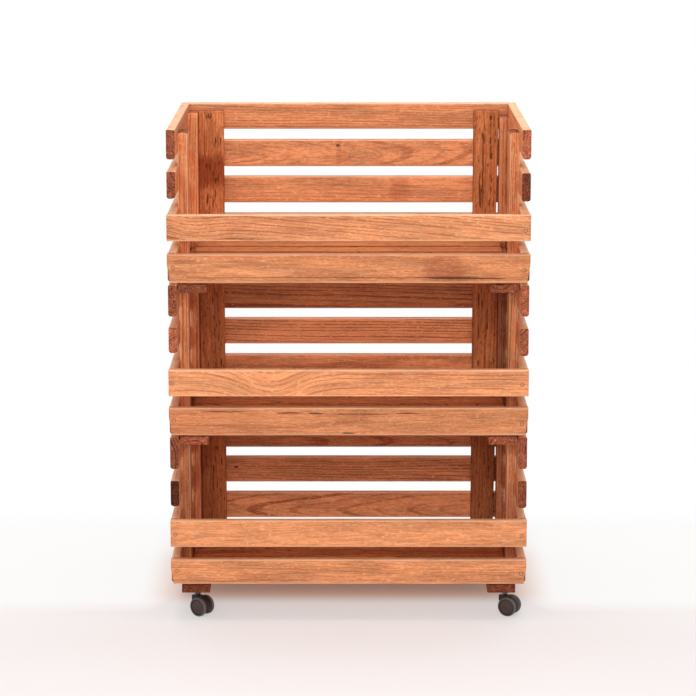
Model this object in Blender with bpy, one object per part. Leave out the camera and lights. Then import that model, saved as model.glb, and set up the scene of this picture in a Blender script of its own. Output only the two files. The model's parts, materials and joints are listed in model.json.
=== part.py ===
"""Three stacked open-front slatted vegetable crates on four swivel casters.

Every crate is nailed up from sawn boards: slats over vertical battens make the sides and the
back, two rails close the lower half of the front, and floor boards lie across two skids.
The skids of a crate drop between the slats of the crate below and stand on its battens.
The skids of the lowest crate carry four small twin-wheel casters.

Metres, +Z up, front towards -Y. The origin is on the floor under the middle of the rack.
"""

from math import cos, pi, radians, sin

import bmesh
import bpy
from mathutils import Matrix, Vector

# Overall sizes
RACK_WIDTH = 0.550
SIDE_SLAT_LENGTH = 0.385
CRATE_NAMES = ("bottom_crate", "middle_crate", "top_crate")

# Boards
BOARD_THICKNESS = 0.0135
EDGE_RADIUS = 0.003
SLAT_WIDTH = 0.044
SLAT_GAP = 0.018
RAIL_END_TAPER = 0.004
TAPER_RISE_SHARE = 0.65
# The boards are sawn unevenly: widths and gaps from the top level down, as shares of
# SLAT_WIDTH and SLAT_GAP. The front rails follow the two lower side slats. On the right the
# second slat is wider and hangs lower, and what it gains comes off the gaps beside it.
side_width_shares = {
    "bottom_crate": (1.145, 0.925, 0.985, 0.915),
    "middle_crate": (1.10, 0.915, 0.96, 1.0),
    "top_crate": (1.02, 0.94, 0.93, 1.01),
}
side_gap_shares = {
    "bottom_crate": (1.03, 1.04, 1.07),
    "middle_crate": (0.92, 1.28, 0.95),
    "top_crate": (1.02, 1.24, 1.08),
}
# How far the right second slat's upper and lower edges hang lower, as shares of SLAT_WIDTH
right_sag_shares = {
    "bottom_crate": (0.0, 0.068),
    "middle_crate": (0.045, 0.105),
    "top_crate": (0.05, 0.095),
}
back_width_shares = (0.98, 1.02, 1.01, 1.02)
back_gap_shares = (0.95, 0.89, 0.97)
# How far the back's top edge lies below the side slats' top edge, as shares of SLAT_WIDTH
back_drop_shares = {"bottom_crate": 0.095, "middle_crate": 0.065, "top_crate": 0.028}

# Battens
SIDE_BATTEN_WIDTH = 0.044
BACK_BATTEN_WIDTH = 0.041
BATTEN_SETBACK = 0.070
BATTEN_SLIT = 0.0008
# How thick the side battens of each crate are, as shares of BOARD_THICKNESS
batten_thickness_shares = {"bottom_crate": 1.0, "middle_crate": 1.0, "top_crate": 1.09}
NAIL_BITE = 0.0002
NEST_DEPTH = 0.012

# Floor and skids
SKID_WIDTH = 0.044
SKID_THICKNESS = 0.0135
SKID_TOP_DROP = 0.0038
SKID_SIDE_CLEARANCE = 0.002
SKID_END_CLEARANCE = 0.0015
FLOOR_BOARD_WIDTH = 0.044
FLOOR_BOARD_GAP = 0.012
REAR_FLOOR_GAP = 0.060

# Casters
CASTER_HEIGHT = 0.0415
CASTER_TRAIL = 0.011
# How far outside its skid's middle line each caster is screwed on, as shares of SKID_WIDTH
caster_outset_shares = {
    "front_left": 0.014,
    "front_right": 0.109,
    "rear_left": 0.027,
    "rear_right": 0.027,
}
KINGPIN_FROM_SKID_END = 0.026
WHEEL_RADIUS = 0.015
WHEEL_WIDTH = 0.006
WHEEL_EDGE_RADIUS = 0.0014
WHEEL_RIM_WIDTH = 0.0022
WHEEL_FACE_STEP = 0.0006
WHEEL_HUB_RADIUS = 0.0055
WHEEL_HUB_RECESS = 0.0012
WHEEL_BORE_DEPTH = 0.0042
WHEEL_RUNNING_GAP = 0.0004
AXLE_RADIUS = 0.002
WEB_WIDTH = 0.0122
WEB_RADIUS = 0.0125
HOOD_RADIUS = 0.0158
NECK_RADIUS = 0.006
NECK_EDGE_RADIUS = 0.0008
NECK_WALL_DROP = 0.008
KINGPIN_RADIUS = 0.0025
KINGPIN_DEPTH = 0.0105
PLATE_WIDTH = 0.024
PLATE_LENGTH = 0.034
PLATE_THICKNESS = 0.0016
PLATE_CORNER_RADIUS = 0.003
DISH_UPPER_RADIUS = 0.0112
DISH_LOWER_RADIUS = 0.0064
DISH_HEIGHT = 0.007
SCREW_HOLE_RADIUS = 0.0016
SCREW_HOLE_INSET = 0.004
# Direction in which each wheel pair trails behind its kingpin, in degrees from +X
trail_angles = {
    "front_left": -36.0,
    "front_right": -28.0,
    "rear_left": 72.0,
    "rear_right": 128.0,
}
HOOD_START_ANGLE = -25.0
HOOD_END_ANGLE = 95.0
WEB_START_ANGLE = 165.0
WEB_END_ANGLE = 320.0

# Clearances and overruns
CONTACT_GAP = 0.0003
PIN_CLEARANCE = 0.0003
CUT_OVERRUN = 0.001

# Roundness, in facets
EDGE_SEGMENTS = 2
WHEEL_FACETS = 28
PIN_FACETS = 12
HOLE_FACETS = 10

# Worked out from the sizes above
skid_drop = SKID_TOP_DROP + SKID_THICKNESS
inner_side = 0.5 * RACK_WIDTH - BOARD_THICKNESS
inner_front = -0.5 * SIDE_SLAT_LENGTH
inner_back = 0.5 * SIDE_SLAT_LENGTH
skid_centre = inner_side - SKID_SIDE_CLEARANCE - 0.5 * SKID_WIDTH
skid_front = inner_front
skid_length = SIDE_SLAT_LENGTH - SKID_END_CLEARANCE
floor_pitch = FLOOR_BOARD_WIDTH + FLOOR_BOARD_GAP
floor_count = int((SIDE_SLAT_LENGTH - REAR_FLOOR_GAP + FLOOR_BOARD_GAP) // floor_pitch)
plate_bottom = CASTER_HEIGHT - CONTACT_GAP - PLATE_THICKNESS
dish_bottom = plate_bottom - DISH_HEIGHT
neck_top = dish_bottom - PIN_CLEARANCE
neck_bottom = 2.0 * WHEEL_RADIUS
wheel_inner_face = 0.5 * WEB_WIDTH + WHEEL_RUNNING_GAP
wheel_outer_face = wheel_inner_face + WHEEL_WIDTH


def slat_levels(top, width_shares, gap_shares):
    """The (lower edge, width) of each slat from the top level down, above the skid's underside."""
    levels = []
    edge = top
    for width_share, gap_share in zip(width_shares, (*gap_shares, 0.0)):
        edge -= width_share * SLAT_WIDTH
        levels.append((edge, width_share * SLAT_WIDTH))
        edge -= gap_share * SLAT_GAP
    return levels


def crate_top(crate):
    """Height of a crate's top side slats above the underside of its skids."""
    body = sum(side_width_shares[crate]) * SLAT_WIDTH + sum(side_gap_shares[crate]) * SLAT_GAP
    return skid_drop + body


def side_levels(crate):
    """Levels of the left side slats, of which the front rails share the lower two."""
    return slat_levels(crate_top(crate), side_width_shares[crate], side_gap_shares[crate])


def right_side_levels(crate):
    """Levels of the right side slats, where the second one hangs lower."""
    first, (bottom, width), *lower = side_levels(crate)
    upper_sag, lower_sag = (share * SLAT_WIDTH for share in right_sag_shares[crate])
    return [first, (bottom - lower_sag, width + lower_sag - upper_sag), *lower]


def side_batten_thickness(crate):
    """Thickness of a crate's side battens."""
    return batten_thickness_shares[crate] * BOARD_THICKNESS


def batten_face(crate):
    """How far the inner faces of a crate's side battens are from the middle of the rack."""
    return inner_side - side_batten_thickness(crate)


def batten_size_and_height(crate, width):
    """Size of an upright batten with X across it, and the height of its middle."""
    top = crate_top(crate) - NEST_DEPTH
    bottom = SKID_THICKNESS + CONTACT_GAP
    return (width, BOARD_THICKNESS, top - bottom), 0.5 * (top + bottom)


def clear_scene():
    """Remove the objects that the file came with."""
    for old in list(bpy.data.objects):
        bpy.data.objects.remove(old, do_unlink=True)


def principled(name, colour, roughness, metallic):
    """One Principled material."""
    material = bpy.data.materials.new(name)
    material.use_nodes = True
    shader = material.node_tree.nodes["Principled BSDF"]
    shader.inputs["Base Color"].default_value = (*colour, 1.0)
    shader.inputs["Roughness"].default_value = roughness
    shader.inputs["Metallic"].default_value = metallic
    material.diffuse_color = (*colour, 1.0)
    return material


def materials():
    """The four finishes of the rack."""
    return {
        "slat": principled("stained_slat", (0.70, 0.30, 0.15), 0.62, 0.0),
        "batten": principled("stained_batten", (0.55, 0.21, 0.10), 0.70, 0.0),
        "plastic": principled("caster_plastic", (0.045, 0.043, 0.042), 0.42, 0.0),
        "steel": principled("zinc_steel", (0.55, 0.55, 0.56), 0.35, 0.9),
    }


def finish_mesh(bm, name):
    """Turn the bmesh into a mesh with outward faces and smooth round stretches."""
    bmesh.ops.recalc_face_normals(bm, faces=bm.faces)
    mesh = bpy.data.meshes.new(name)
    bm.to_mesh(mesh)
    bm.free()
    mesh.shade_smooth()
    mesh.set_sharp_from_angle(angle=radians(35.0))
    return mesh


def add_object(name, mesh, material, location=(0.0, 0.0, 0.0), parent=None):
    """Place a mesh as a named object under its parent."""
    item = bpy.data.objects.new(name, mesh)
    bpy.context.scene.collection.objects.link(item)
    item.location = location
    item.parent = parent
    if material is not None and not mesh.materials:
        mesh.materials.append(material)
    return item


def add_empty(name, location, parent=None, angle=0.0):
    """An empty that carries the pieces which move together."""
    frame = bpy.data.objects.new(name, None)
    bpy.context.scene.collection.objects.link(frame)
    frame.location = location
    frame.rotation_euler = (0.0, 0.0, radians(angle))
    frame.parent = parent
    return frame


def make_tool(item):
    """Mark an object that only shapes another one."""
    item.hide_render = True
    item.display_type = "WIRE"
    return item


def combine(base, tool, operation):
    """Join a tool object to the base with the tool's own finish, or cut it out of the base."""
    change = base.modifiers.new(operation.lower(), "BOOLEAN")
    change.operation = operation
    change.solver = "EXACT"
    change.material_mode = "TRANSFER"
    change.object = make_tool(tool)


def saw(bm, point, outward):
    """Saw off what lies beyond a plane and close the cut."""
    everything = bm.verts[:] + bm.edges[:] + bm.faces[:]
    cut = bmesh.ops.bisect_plane(
        bm, geom=everything, plane_co=point, plane_no=outward, clear_outer=True)
    rim = [item for item in cut["geom_cut"] if isinstance(item, bmesh.types.BMEdge)]
    bmesh.ops.edgenet_fill(bm, edges=rim)


def board_mesh(name, size, end_taper=0.0):
    """A sawn board whose long edges are eased. Both ends may be sawn in towards the bottom."""
    bm = bmesh.new()
    bmesh.ops.create_cube(bm, size=1.0, matrix=Matrix.Diagonal((*size, 1.0)))
    long_axis = size.index(max(size))
    long_edges = [edge for edge in bm.edges
                  if abs((edge.verts[0].co - edge.verts[1].co)[long_axis]) > 0.5 * max(size)]
    bmesh.ops.bevel(bm, geom=long_edges, offset=EDGE_RADIUS, offset_type="OFFSET",
                    segments=EDGE_SEGMENTS, profile=0.5, affect="EDGES")
    if end_taper:
        rise = TAPER_RISE_SHARE * size[2]
        for side in (-1.0, 1.0):
            knee = Vector((side * 0.5 * size[0], 0.0, rise - 0.5 * size[2]))
            saw(bm, knee, Vector((side * rise, 0.0, -end_taper)).normalized())
    return finish_mesh(bm, name)


def add_board(name, size, centre, material, parent, end_taper=0.0):
    """One board, given by its size and its middle."""
    mesh = board_mesh(name, size, end_taper)
    return add_object(name, mesh, material, centre, parent)


def turned_mesh(name, profile, facets, axis):
    """Turn a profile of (radius, place along the axis) points about a coordinate axis."""
    bm = bmesh.new()
    along = Vector(axis)
    across = Vector((1.0, 0.0, 0.0))
    points = [bm.verts.new(across * radius + along * place) for radius, place in profile]
    edges = [bm.edges.new(pair) for pair in zip(points[:-1], points[1:])]
    bmesh.ops.spin(bm, geom=points + edges, cent=(0.0, 0.0, 0.0), axis=along,
                   angle=2.0 * pi, steps=facets, use_duplicate=False)
    bmesh.ops.remove_doubles(bm, verts=bm.verts, dist=0.01 * CONTACT_GAP)
    return finish_mesh(bm, name)


def extruded_mesh(name, outline, half_width):
    """Extrude an outline of (x, z) points evenly to both sides along Y."""
    bm = bmesh.new()
    ring = [bm.verts.new((x, -half_width, z)) for x, z in outline]
    face = bm.faces.new(ring)
    grown = bmesh.ops.extrude_face_region(bm, geom=[face])
    moved = [item for item in grown["geom"] if isinstance(item, bmesh.types.BMVert)]
    bmesh.ops.translate(bm, verts=moved, vec=(0.0, 2.0 * half_width, 0.0))
    return finish_mesh(bm, name)


def arc(centre, radius, start, end, steps):
    """Points on an arc in the XZ plane, from one angle in degrees to another."""
    angles = [radians(start + (end - start) * step / steps) for step in range(steps + 1)]
    return [(centre[0] + radius * cos(angle), centre[1] + radius * sin(angle)) for angle in angles]


def side_panel(crate, parent, side, finishes):
    """Four slats nailed over a front and a rear batten. side is -1 for left, 1 for right."""
    word = "left" if side < 0.0 else "right"
    name = f"{crate}_{word}_side_panel"
    length = SIDE_SLAT_LENGTH - 2.0 * CONTACT_GAP
    slat_x = side * (inner_side + 0.5 * BOARD_THICKNESS)
    thick = side_batten_thickness(crate)
    batten_x = side * (inner_side - 0.5 * thick + NAIL_BITE)
    (wide, _, tall), batten_z = batten_size_and_height(crate, SIDE_BATTEN_WIDTH)
    batten_size = (thick, wide, tall)
    front_y = inner_front + BATTEN_SETBACK + 0.5 * SIDE_BATTEN_WIDTH
    rear_y = inner_back - CONTACT_GAP - 0.5 * SIDE_BATTEN_WIDTH
    panel = add_board(name, batten_size, (batten_x, front_y, batten_z), finishes["batten"], parent)
    rear = add_board(f"{name}_rear_batten", batten_size, (batten_x, rear_y, batten_z),
                     finishes["batten"], parent)
    slats = []
    levels = side_levels(crate) if side < 0.0 else right_side_levels(crate)
    for level, (bottom, width) in enumerate(levels, start=1):
        slats.append(add_board(f"{name}_slat_{level}", (BOARD_THICKNESS, length, width),
                               (slat_x, 0.0, bottom + 0.5 * width), finishes["slat"], parent))
    for tool in slats + [rear]:
        combine(panel, tool, "UNION")
    return panel


def back_panel(crate, parent, finishes):
    """Four full-width slats nailed over two battens that stand just inside the side battens."""
    name = f"{crate}_back_panel"
    slat_y = inner_back + 0.5 * BOARD_THICKNESS
    batten_y = inner_back - 0.5 * BOARD_THICKNESS + NAIL_BITE
    batten_x = batten_face(crate) - BATTEN_SLIT - 0.5 * BACK_BATTEN_WIDTH
    batten_size, batten_z = batten_size_and_height(crate, BACK_BATTEN_WIDTH)
    panel = add_board(name, batten_size, (-batten_x, batten_y, batten_z), finishes["batten"],
                      parent)
    right = add_board(f"{name}_right_batten", batten_size, (batten_x, batten_y, batten_z),
                      finishes["batten"], parent)
    slats = []
    top = crate_top(crate) - back_drop_shares[crate] * SLAT_WIDTH
    levels = slat_levels(top, back_width_shares, back_gap_shares)
    for level, (bottom, width) in enumerate(levels, start=1):
        slats.append(add_board(f"{name}_slat_{level}", (RACK_WIDTH, BOARD_THICKNESS, width),
                               (0.0, slat_y, bottom + 0.5 * width), finishes["slat"], parent))
    for tool in slats + [right]:
        combine(panel, tool, "UNION")
    return panel


def front_rails(crate, parent, finishes):
    """Two full-width rails nailed over the front ends of the two lower side slats."""
    rail_y = inner_front - 0.5 * BOARD_THICKNESS
    levels = side_levels(crate)[2:]
    for word, taper, (bottom, width) in zip(("upper", "lower"), (0.0, RAIL_END_TAPER), levels):
        add_board(f"{crate}_{word}_front_rail", (RACK_WIDTH, BOARD_THICKNESS, width),
                  (0.0, rail_y, bottom + 0.5 * width), finishes["slat"], parent, taper)


def floor_and_skids(crate, parent, finishes):
    """Two skids from front to back, and the floor boards that lie across them."""
    for side, word in ((-1.0, "left"), (1.0, "right")):
        add_board(f"{crate}_{word}_skid", (SKID_WIDTH, skid_length, SKID_THICKNESS),
                  (side * skid_centre, skid_front + 0.5 * skid_length, 0.5 * SKID_THICKNESS),
                  finishes["batten"], parent)
    board_length = 2.0 * (batten_face(crate) - CONTACT_GAP)
    board_size = (board_length, FLOOR_BOARD_WIDTH, BOARD_THICKNESS)
    board_z = SKID_THICKNESS + CONTACT_GAP + 0.5 * BOARD_THICKNESS
    first_y = inner_front + CONTACT_GAP + 0.5 * FLOOR_BOARD_WIDTH
    for index in range(floor_count):
        add_board(f"{crate}_floor_board_{index + 1}", board_size,
                  (0.0, first_y + index * floor_pitch, board_z), finishes["slat"], parent)


def crate_assembly(crate, height, finishes):
    """One whole crate under its own empty, at the height of the underside of its skids."""
    frame = add_empty(f"{crate}_frame", (0.0, 0.0, height))
    side_panel(crate, frame, -1.0, finishes)
    side_panel(crate, frame, 1.0, finishes)
    back_panel(crate, frame, finishes)
    front_rails(crate, frame, finishes)
    floor_and_skids(crate, frame, finishes)


def caster_plate(corner, frame, finishes):
    """Screw plate with its pressed dish and the kingpin that hangs from it."""
    name = f"{corner}_caster_plate"
    bm = bmesh.new()
    bmesh.ops.create_cube(bm, size=1.0,
                          matrix=Matrix.Diagonal((PLATE_WIDTH, PLATE_LENGTH, PLATE_THICKNESS, 1.0)))
    upright = [edge for edge in bm.edges
               if abs(edge.verts[0].co.z - edge.verts[1].co.z) > 0.5 * PLATE_THICKNESS]
    bmesh.ops.bevel(bm, geom=upright, offset=PLATE_CORNER_RADIUS, offset_type="OFFSET",
                    segments=3, profile=0.5, affect="EDGES")
    middle = plate_bottom + 0.5 * PLATE_THICKNESS
    plate = add_object(name, finish_mesh(bm, name), finishes["steel"], (0.0, 0.0, middle), frame)
    pin_end = neck_top - KINGPIN_DEPTH
    pin_profile = [(0.0, pin_end), (KINGPIN_RADIUS, pin_end), (KINGPIN_RADIUS, dish_bottom),
                   (DISH_LOWER_RADIUS, dish_bottom), (DISH_UPPER_RADIUS, plate_bottom),
                   (DISH_UPPER_RADIUS, middle), (0.0, middle)]
    pin = add_object(f"{name}_kingpin", turned_mesh(f"{name}_kingpin", pin_profile,
                                                    2 * PIN_FACETS, (0.0, 0.0, 1.0)),
                     finishes["steel"], parent=frame)
    combine(plate, pin, "UNION")
    drill = PLATE_THICKNESS + CUT_OVERRUN
    hole_profile = [(0.0, -drill), (SCREW_HOLE_RADIUS, -drill), (SCREW_HOLE_RADIUS, drill),
                    (0.0, drill)]
    hole_mesh = turned_mesh(f"{name}_hole", hole_profile, HOLE_FACETS, (0.0, 0.0, 1.0))
    reach_x = 0.5 * PLATE_WIDTH - SCREW_HOLE_INSET
    reach_y = 0.5 * PLATE_LENGTH - SCREW_HOLE_INSET
    for number, (x, y) in enumerate(((-1, -1), (1, -1), (1, 1), (-1, 1)), start=1):
        hole = add_object(f"{name}_hole_{number}", hole_mesh, None,
                          (x * reach_x, y * reach_y, middle), frame)
        combine(plate, hole, "DIFFERENCE")
    return plate


def hood_outline(axle):
    """Side view of the web: round over the wheels, straight down behind the kingpin."""
    rounded = arc(axle, HOOD_RADIUS, HOOD_START_ANGLE, HOOD_END_ANGLE, 10)
    lower = arc(axle, WEB_RADIUS, WEB_START_ANGLE, WEB_END_ANGLE, 12)
    shoulder = neck_bottom + NECK_EDGE_RADIUS
    wall = NECK_RADIUS - NECK_EDGE_RADIUS
    neck = [(wall, shoulder), (-wall, shoulder), (-wall, shoulder - NECK_WALL_DROP)]
    return rounded + neck + lower


def caster_hood(corner, frame, finishes):
    """Swivel body: a web between the wheels under a round neck that takes the kingpin."""
    name = f"{corner}_caster_hood"
    axle = (CASTER_TRAIL, WHEEL_RADIUS)
    hood = add_object(name, extruded_mesh(name, hood_outline(axle), 0.5 * WEB_WIDTH),
                      finishes["plastic"], parent=frame)
    neck_profile = [(0.0, neck_bottom), (NECK_RADIUS, neck_bottom),
                    (NECK_RADIUS, neck_top - NECK_EDGE_RADIUS),
                    (NECK_RADIUS - NECK_EDGE_RADIUS, neck_top), (0.0, neck_top)]
    neck = add_object(f"{name}_neck",
                      turned_mesh(f"{name}_neck", neck_profile, 2 * PIN_FACETS,
                                  (0.0, 0.0, 1.0)), finishes["plastic"], parent=frame)
    bore_radius = KINGPIN_RADIUS + PIN_CLEARANCE
    bore_end = neck_top - KINGPIN_DEPTH - PIN_CLEARANCE
    bore_top = neck_top + CUT_OVERRUN
    bore_profile = [(0.0, bore_end), (bore_radius, bore_end), (bore_radius, bore_top),
                    (0.0, bore_top)]
    bore = add_object(f"{name}_kingpin_bore",
                      turned_mesh(f"{name}_kingpin_bore", bore_profile, PIN_FACETS,
                                  (0.0, 0.0, 1.0)), None, parent=frame)
    hole_reach = 0.5 * WEB_WIDTH + CUT_OVERRUN
    hole_radius = AXLE_RADIUS + PIN_CLEARANCE
    hole_profile = [(0.0, -hole_reach), (hole_radius, -hole_reach), (hole_radius, hole_reach),
                    (0.0, hole_reach)]
    hole = add_object(f"{name}_axle_hole",
                      turned_mesh(f"{name}_axle_hole", hole_profile, PIN_FACETS,
                                  (0.0, 1.0, 0.0)), None, (axle[0], 0.0, axle[1]), frame)
    combine(hood, neck, "UNION")
    combine(hood, bore, "DIFFERENCE")
    combine(hood, hole, "DIFFERENCE")
    return hood


def caster_axle(corner, frame, finishes):
    """Steel pin through the web, with its ends inside the blind bores of the wheels."""
    name = f"{corner}_caster_axle"
    reach = wheel_inner_face + WHEEL_BORE_DEPTH - PIN_CLEARANCE
    profile = [(0.0, -reach), (AXLE_RADIUS, -reach), (AXLE_RADIUS, reach), (0.0, reach)]
    return add_object(name, turned_mesh(name, profile, PIN_FACETS, (0.0, 1.0, 0.0)),
                      finishes["steel"], (CASTER_TRAIL, 0.0, WHEEL_RADIUS), frame)


def wheel_profile():
    """Half section of a wheel, from the middle of its closed face round to its blind bore."""
    face = WHEEL_WIDTH - WHEEL_FACE_STEP
    rim = WHEEL_RADIUS - WHEEL_EDGE_RADIUS - WHEEL_RIM_WIDTH
    bore = AXLE_RADIUS + PIN_CLEARANCE
    return [(0.0, WHEEL_WIDTH), (0.5 * rim, WHEEL_WIDTH - 0.25 * WHEEL_FACE_STEP),
            (rim, face), (rim + WHEEL_FACE_STEP, WHEEL_WIDTH),
            (WHEEL_RADIUS - WHEEL_EDGE_RADIUS, WHEEL_WIDTH),
            (WHEEL_RADIUS, WHEEL_WIDTH - WHEEL_EDGE_RADIUS),
            (WHEEL_RADIUS, WHEEL_EDGE_RADIUS), (WHEEL_RADIUS - WHEEL_EDGE_RADIUS, 0.0),
            (rim, 0.0), (rim - WHEEL_HUB_RECESS, WHEEL_HUB_RECESS),
            (WHEEL_HUB_RADIUS + WHEEL_HUB_RECESS, WHEEL_HUB_RECESS), (WHEEL_HUB_RADIUS, 0.0),
            (bore, 0.0), (bore, WHEEL_BORE_DEPTH), (0.0, WHEEL_BORE_DEPTH)]


def caster_wheels(corner, frame, finishes):
    """Two closed-face wheels, one on each side of the web."""
    mesh = turned_mesh(f"{corner}_caster_wheel", wheel_profile(), WHEEL_FACETS, (0.0, 1.0, 0.0))
    for side, word, turn in ((-1.0, "a", 180.0), (1.0, "b", 0.0)):
        wheel = add_object(f"{corner}_caster_wheel_{word}", mesh, finishes["plastic"],
                           (CASTER_TRAIL, side * wheel_inner_face, WHEEL_RADIUS), frame)
        wheel.rotation_euler = (0.0, 0.0, radians(turn))


def caster(corner, finishes):
    """One swivel caster under a skid of the lowest crate."""
    x_side = -1.0 if corner.endswith("left") else 1.0
    y_side = -1.0 if corner.startswith("front") else 1.0
    skid_middle = skid_front + 0.5 * skid_length
    x = x_side * (skid_centre + caster_outset_shares[corner] * SKID_WIDTH)
    y = skid_middle + y_side * (0.5 * skid_length - KINGPIN_FROM_SKID_END)
    base = add_empty(f"{corner}_caster_base", (x, y, 0.0))
    swivel = add_empty(f"{corner}_caster_swivel", (x, y, 0.0), angle=trail_angles[corner])
    caster_plate(corner, base, finishes)
    caster_hood(corner, swivel, finishes)
    caster_axle(corner, swivel, finishes)
    caster_wheels(corner, swivel, finishes)


def main():
    """Build the three crates and the four casters."""
    clear_scene()
    finishes = materials()
    height = CASTER_HEIGHT
    for crate in CRATE_NAMES:
        crate_assembly(crate, height, finishes)
        height += crate_top(crate) - NEST_DEPTH + CONTACT_GAP
    for corner in trail_angles:
        caster(corner, finishes)


main()
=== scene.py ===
"""Looks of a vegetable rack: three nested open-front crates of stained boards on four casters.

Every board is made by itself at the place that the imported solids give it. Its wood comes from a
point in a log, so that rings, streaks and end grain run through it. Nails, screws and casters
are made to the same solids. The stage has a pale floor, soft lamps and the camera.

Metres, +Z up, front towards -Y.
"""

import json
from collections import namedtuple
from functools import partialmethod, wraps
from math import atan2, cos, pi, radians, sin
from random import Random

import bmesh
import bpy
import numpy as np
from bpy.props import FloatProperty, FloatVectorProperty, IntProperty, PointerProperty
from mathutils import Matrix, Vector, noise


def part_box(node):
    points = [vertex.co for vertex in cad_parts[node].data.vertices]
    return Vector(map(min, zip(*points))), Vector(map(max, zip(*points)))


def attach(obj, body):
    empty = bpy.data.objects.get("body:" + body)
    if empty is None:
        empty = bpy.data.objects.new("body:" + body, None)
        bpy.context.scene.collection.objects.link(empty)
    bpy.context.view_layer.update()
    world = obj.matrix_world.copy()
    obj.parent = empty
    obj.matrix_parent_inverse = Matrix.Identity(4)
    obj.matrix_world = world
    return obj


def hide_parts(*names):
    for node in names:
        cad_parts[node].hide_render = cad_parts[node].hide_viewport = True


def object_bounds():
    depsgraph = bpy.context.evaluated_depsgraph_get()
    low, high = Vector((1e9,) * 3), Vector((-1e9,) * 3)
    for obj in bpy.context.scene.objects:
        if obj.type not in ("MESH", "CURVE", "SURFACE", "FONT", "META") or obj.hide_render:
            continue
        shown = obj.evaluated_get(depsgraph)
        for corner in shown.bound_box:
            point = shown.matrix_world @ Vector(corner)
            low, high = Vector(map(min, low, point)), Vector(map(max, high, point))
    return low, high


bl_info = {
    "name": "Vegetable rack",
    "version": (1, 0, 0),
    "blender": (4, 5, 0),
    "location": "3D View > Sidebar > Rack",
    "description": "Makes the boards, nails, casters and stage of a stacked vegetable rack",
    "category": "Object",
}

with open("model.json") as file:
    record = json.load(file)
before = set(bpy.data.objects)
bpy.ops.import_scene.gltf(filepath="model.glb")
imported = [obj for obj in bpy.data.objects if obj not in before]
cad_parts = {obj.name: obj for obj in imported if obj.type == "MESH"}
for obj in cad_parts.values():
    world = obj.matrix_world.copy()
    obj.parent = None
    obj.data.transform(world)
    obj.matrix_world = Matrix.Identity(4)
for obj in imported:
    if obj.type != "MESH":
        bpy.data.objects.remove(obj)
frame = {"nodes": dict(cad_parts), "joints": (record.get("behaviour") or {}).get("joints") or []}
cad_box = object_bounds()

CRATES = ("bottom_crate", "middle_crate", "top_crate")
CORNERS = ("front_left", "front_right", "rear_left", "rear_right")
X, Y, Z = 0, 1, 2

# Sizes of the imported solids, and how near two places are the same one
CAD_EDGE_RADIUS = 0.003
BOARD_THICKNESS = 0.0135
SAME_PLACE = 0.0001
slat_back = cad_box[1].y

# Where the boards depart from the solids, inside their box
SHORT_BATTEN_DROP = 0.0070
LOWEST_SLAT_DROP = 0.0042
BATTEN_GROWTH = 0.0011
BATTEN_LEAN = 0.0038


# Sizes and colours that a user would change

class RackBoardProperties(bpy.types.PropertyGroup):
    """How the boards are sawn and worn."""
    edge_radius: FloatProperty(
        name="Edge radius", description="Mean rounding of the slats' long edges",
        default=0.0029, min=0.0005, max=0.006, precision=4, unit="LENGTH")
    batten_edge_radius: FloatProperty(
        name="Batten edge radius", description="Mean rounding of the battens' long edges",
        default=0.0012, min=0.0005, max=0.006, precision=4, unit="LENGTH")
    planing: FloatProperty(
        name="Planing", description="How far a finished face lies inside the sawn solid",
        default=0.0001, min=0.0, max=0.001, precision=5, unit="LENGTH")
    ripple: FloatProperty(
        name="Ripple", description="Height of the saw's waves on a planed face",
        default=0.00012, min=0.0, max=0.001, precision=5, unit="LENGTH")
    rough_ripple: FloatProperty(
        name="Rough ripple", description="Height of the saw's waves on a rough-sawn batten",
        default=0.00034, min=0.0, max=0.002, precision=5, unit="LENGTH")
    crack_depth: FloatProperty(
        name="Crack depth", description="Depth of the drying cracks in rough-sawn battens",
        default=0.0012, min=0.0, max=0.004, precision=4, unit="LENGTH")
    chip_depth: FloatProperty(
        name="Chip depth", description="How deep the long edges are chipped",
        default=0.0007, min=0.0, max=0.003, precision=4, unit="LENGTH")


class RackWoodProperties(bpy.types.PropertyGroup):
    """Colours of the stained wood."""
    earlywood: FloatVectorProperty(
        name="Earlywood", description="Stained wood between the rings",
        default=(0.80, 0.325, 0.142), subtype="COLOR", min=0.0, max=1.0)
    latewood: FloatVectorProperty(
        name="Latewood", description="Stained wood of the hard dark rings",
        default=(0.46, 0.135, 0.052), subtype="COLOR", min=0.0, max=1.0)
    # pale is also mixed into planed boards' edges and upper faces, as wear and a painted highlight
    pale: FloatVectorProperty(
        name="Pale", description="Fibres that took little stain",
        default=(0.93, 0.51, 0.27), subtype="COLOR", min=0.0, max=1.0)
    cloud: FloatVectorProperty(
        name="Cloud", description="Where the stain has soaked in more",
        default=(0.50, 0.155, 0.075), subtype="COLOR", min=0.0, max=1.0)
    # end_grain also darkens rough boards' edges, as painted shade between boards
    end_grain: FloatVectorProperty(
        name="End grain", description="Stained end of a board",
        default=(0.30, 0.085, 0.042), subtype="COLOR", min=0.0, max=1.0)
    # knot is also painted at the bottom of a crack, as shade in the hollow
    knot: FloatVectorProperty(
        name="Knot", description="Heart of a knot and bottom of a crack",
        default=(0.085, 0.022, 0.010), subtype="COLOR", min=0.0, max=1.0)
    nail: FloatVectorProperty(
        name="Nail", description="Head of a nail under the stain",
        default=(0.97, 0.50, 0.27), subtype="COLOR", min=0.0, max=1.0)


class RackCasterProperties(bpy.types.PropertyGroup):
    """Colours and fineness of the casters."""
    plastic: FloatVectorProperty(
        name="Plastic", description="Moulded wheels and hoods",
        default=(0.066, 0.042, 0.036), subtype="COLOR", min=0.0, max=1.0)
    # The steel colour is kept dark, as painted shade under the skids
    steel: FloatVectorProperty(
        name="Steel", description="Zinc-plated plates, axles and screws",
        default=(0.17, 0.14, 0.13), subtype="COLOR", min=0.0, max=1.0)
    facets: IntProperty(
        name="Facets", description="Flats round a wheel", default=72, min=24, max=160)


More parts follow.
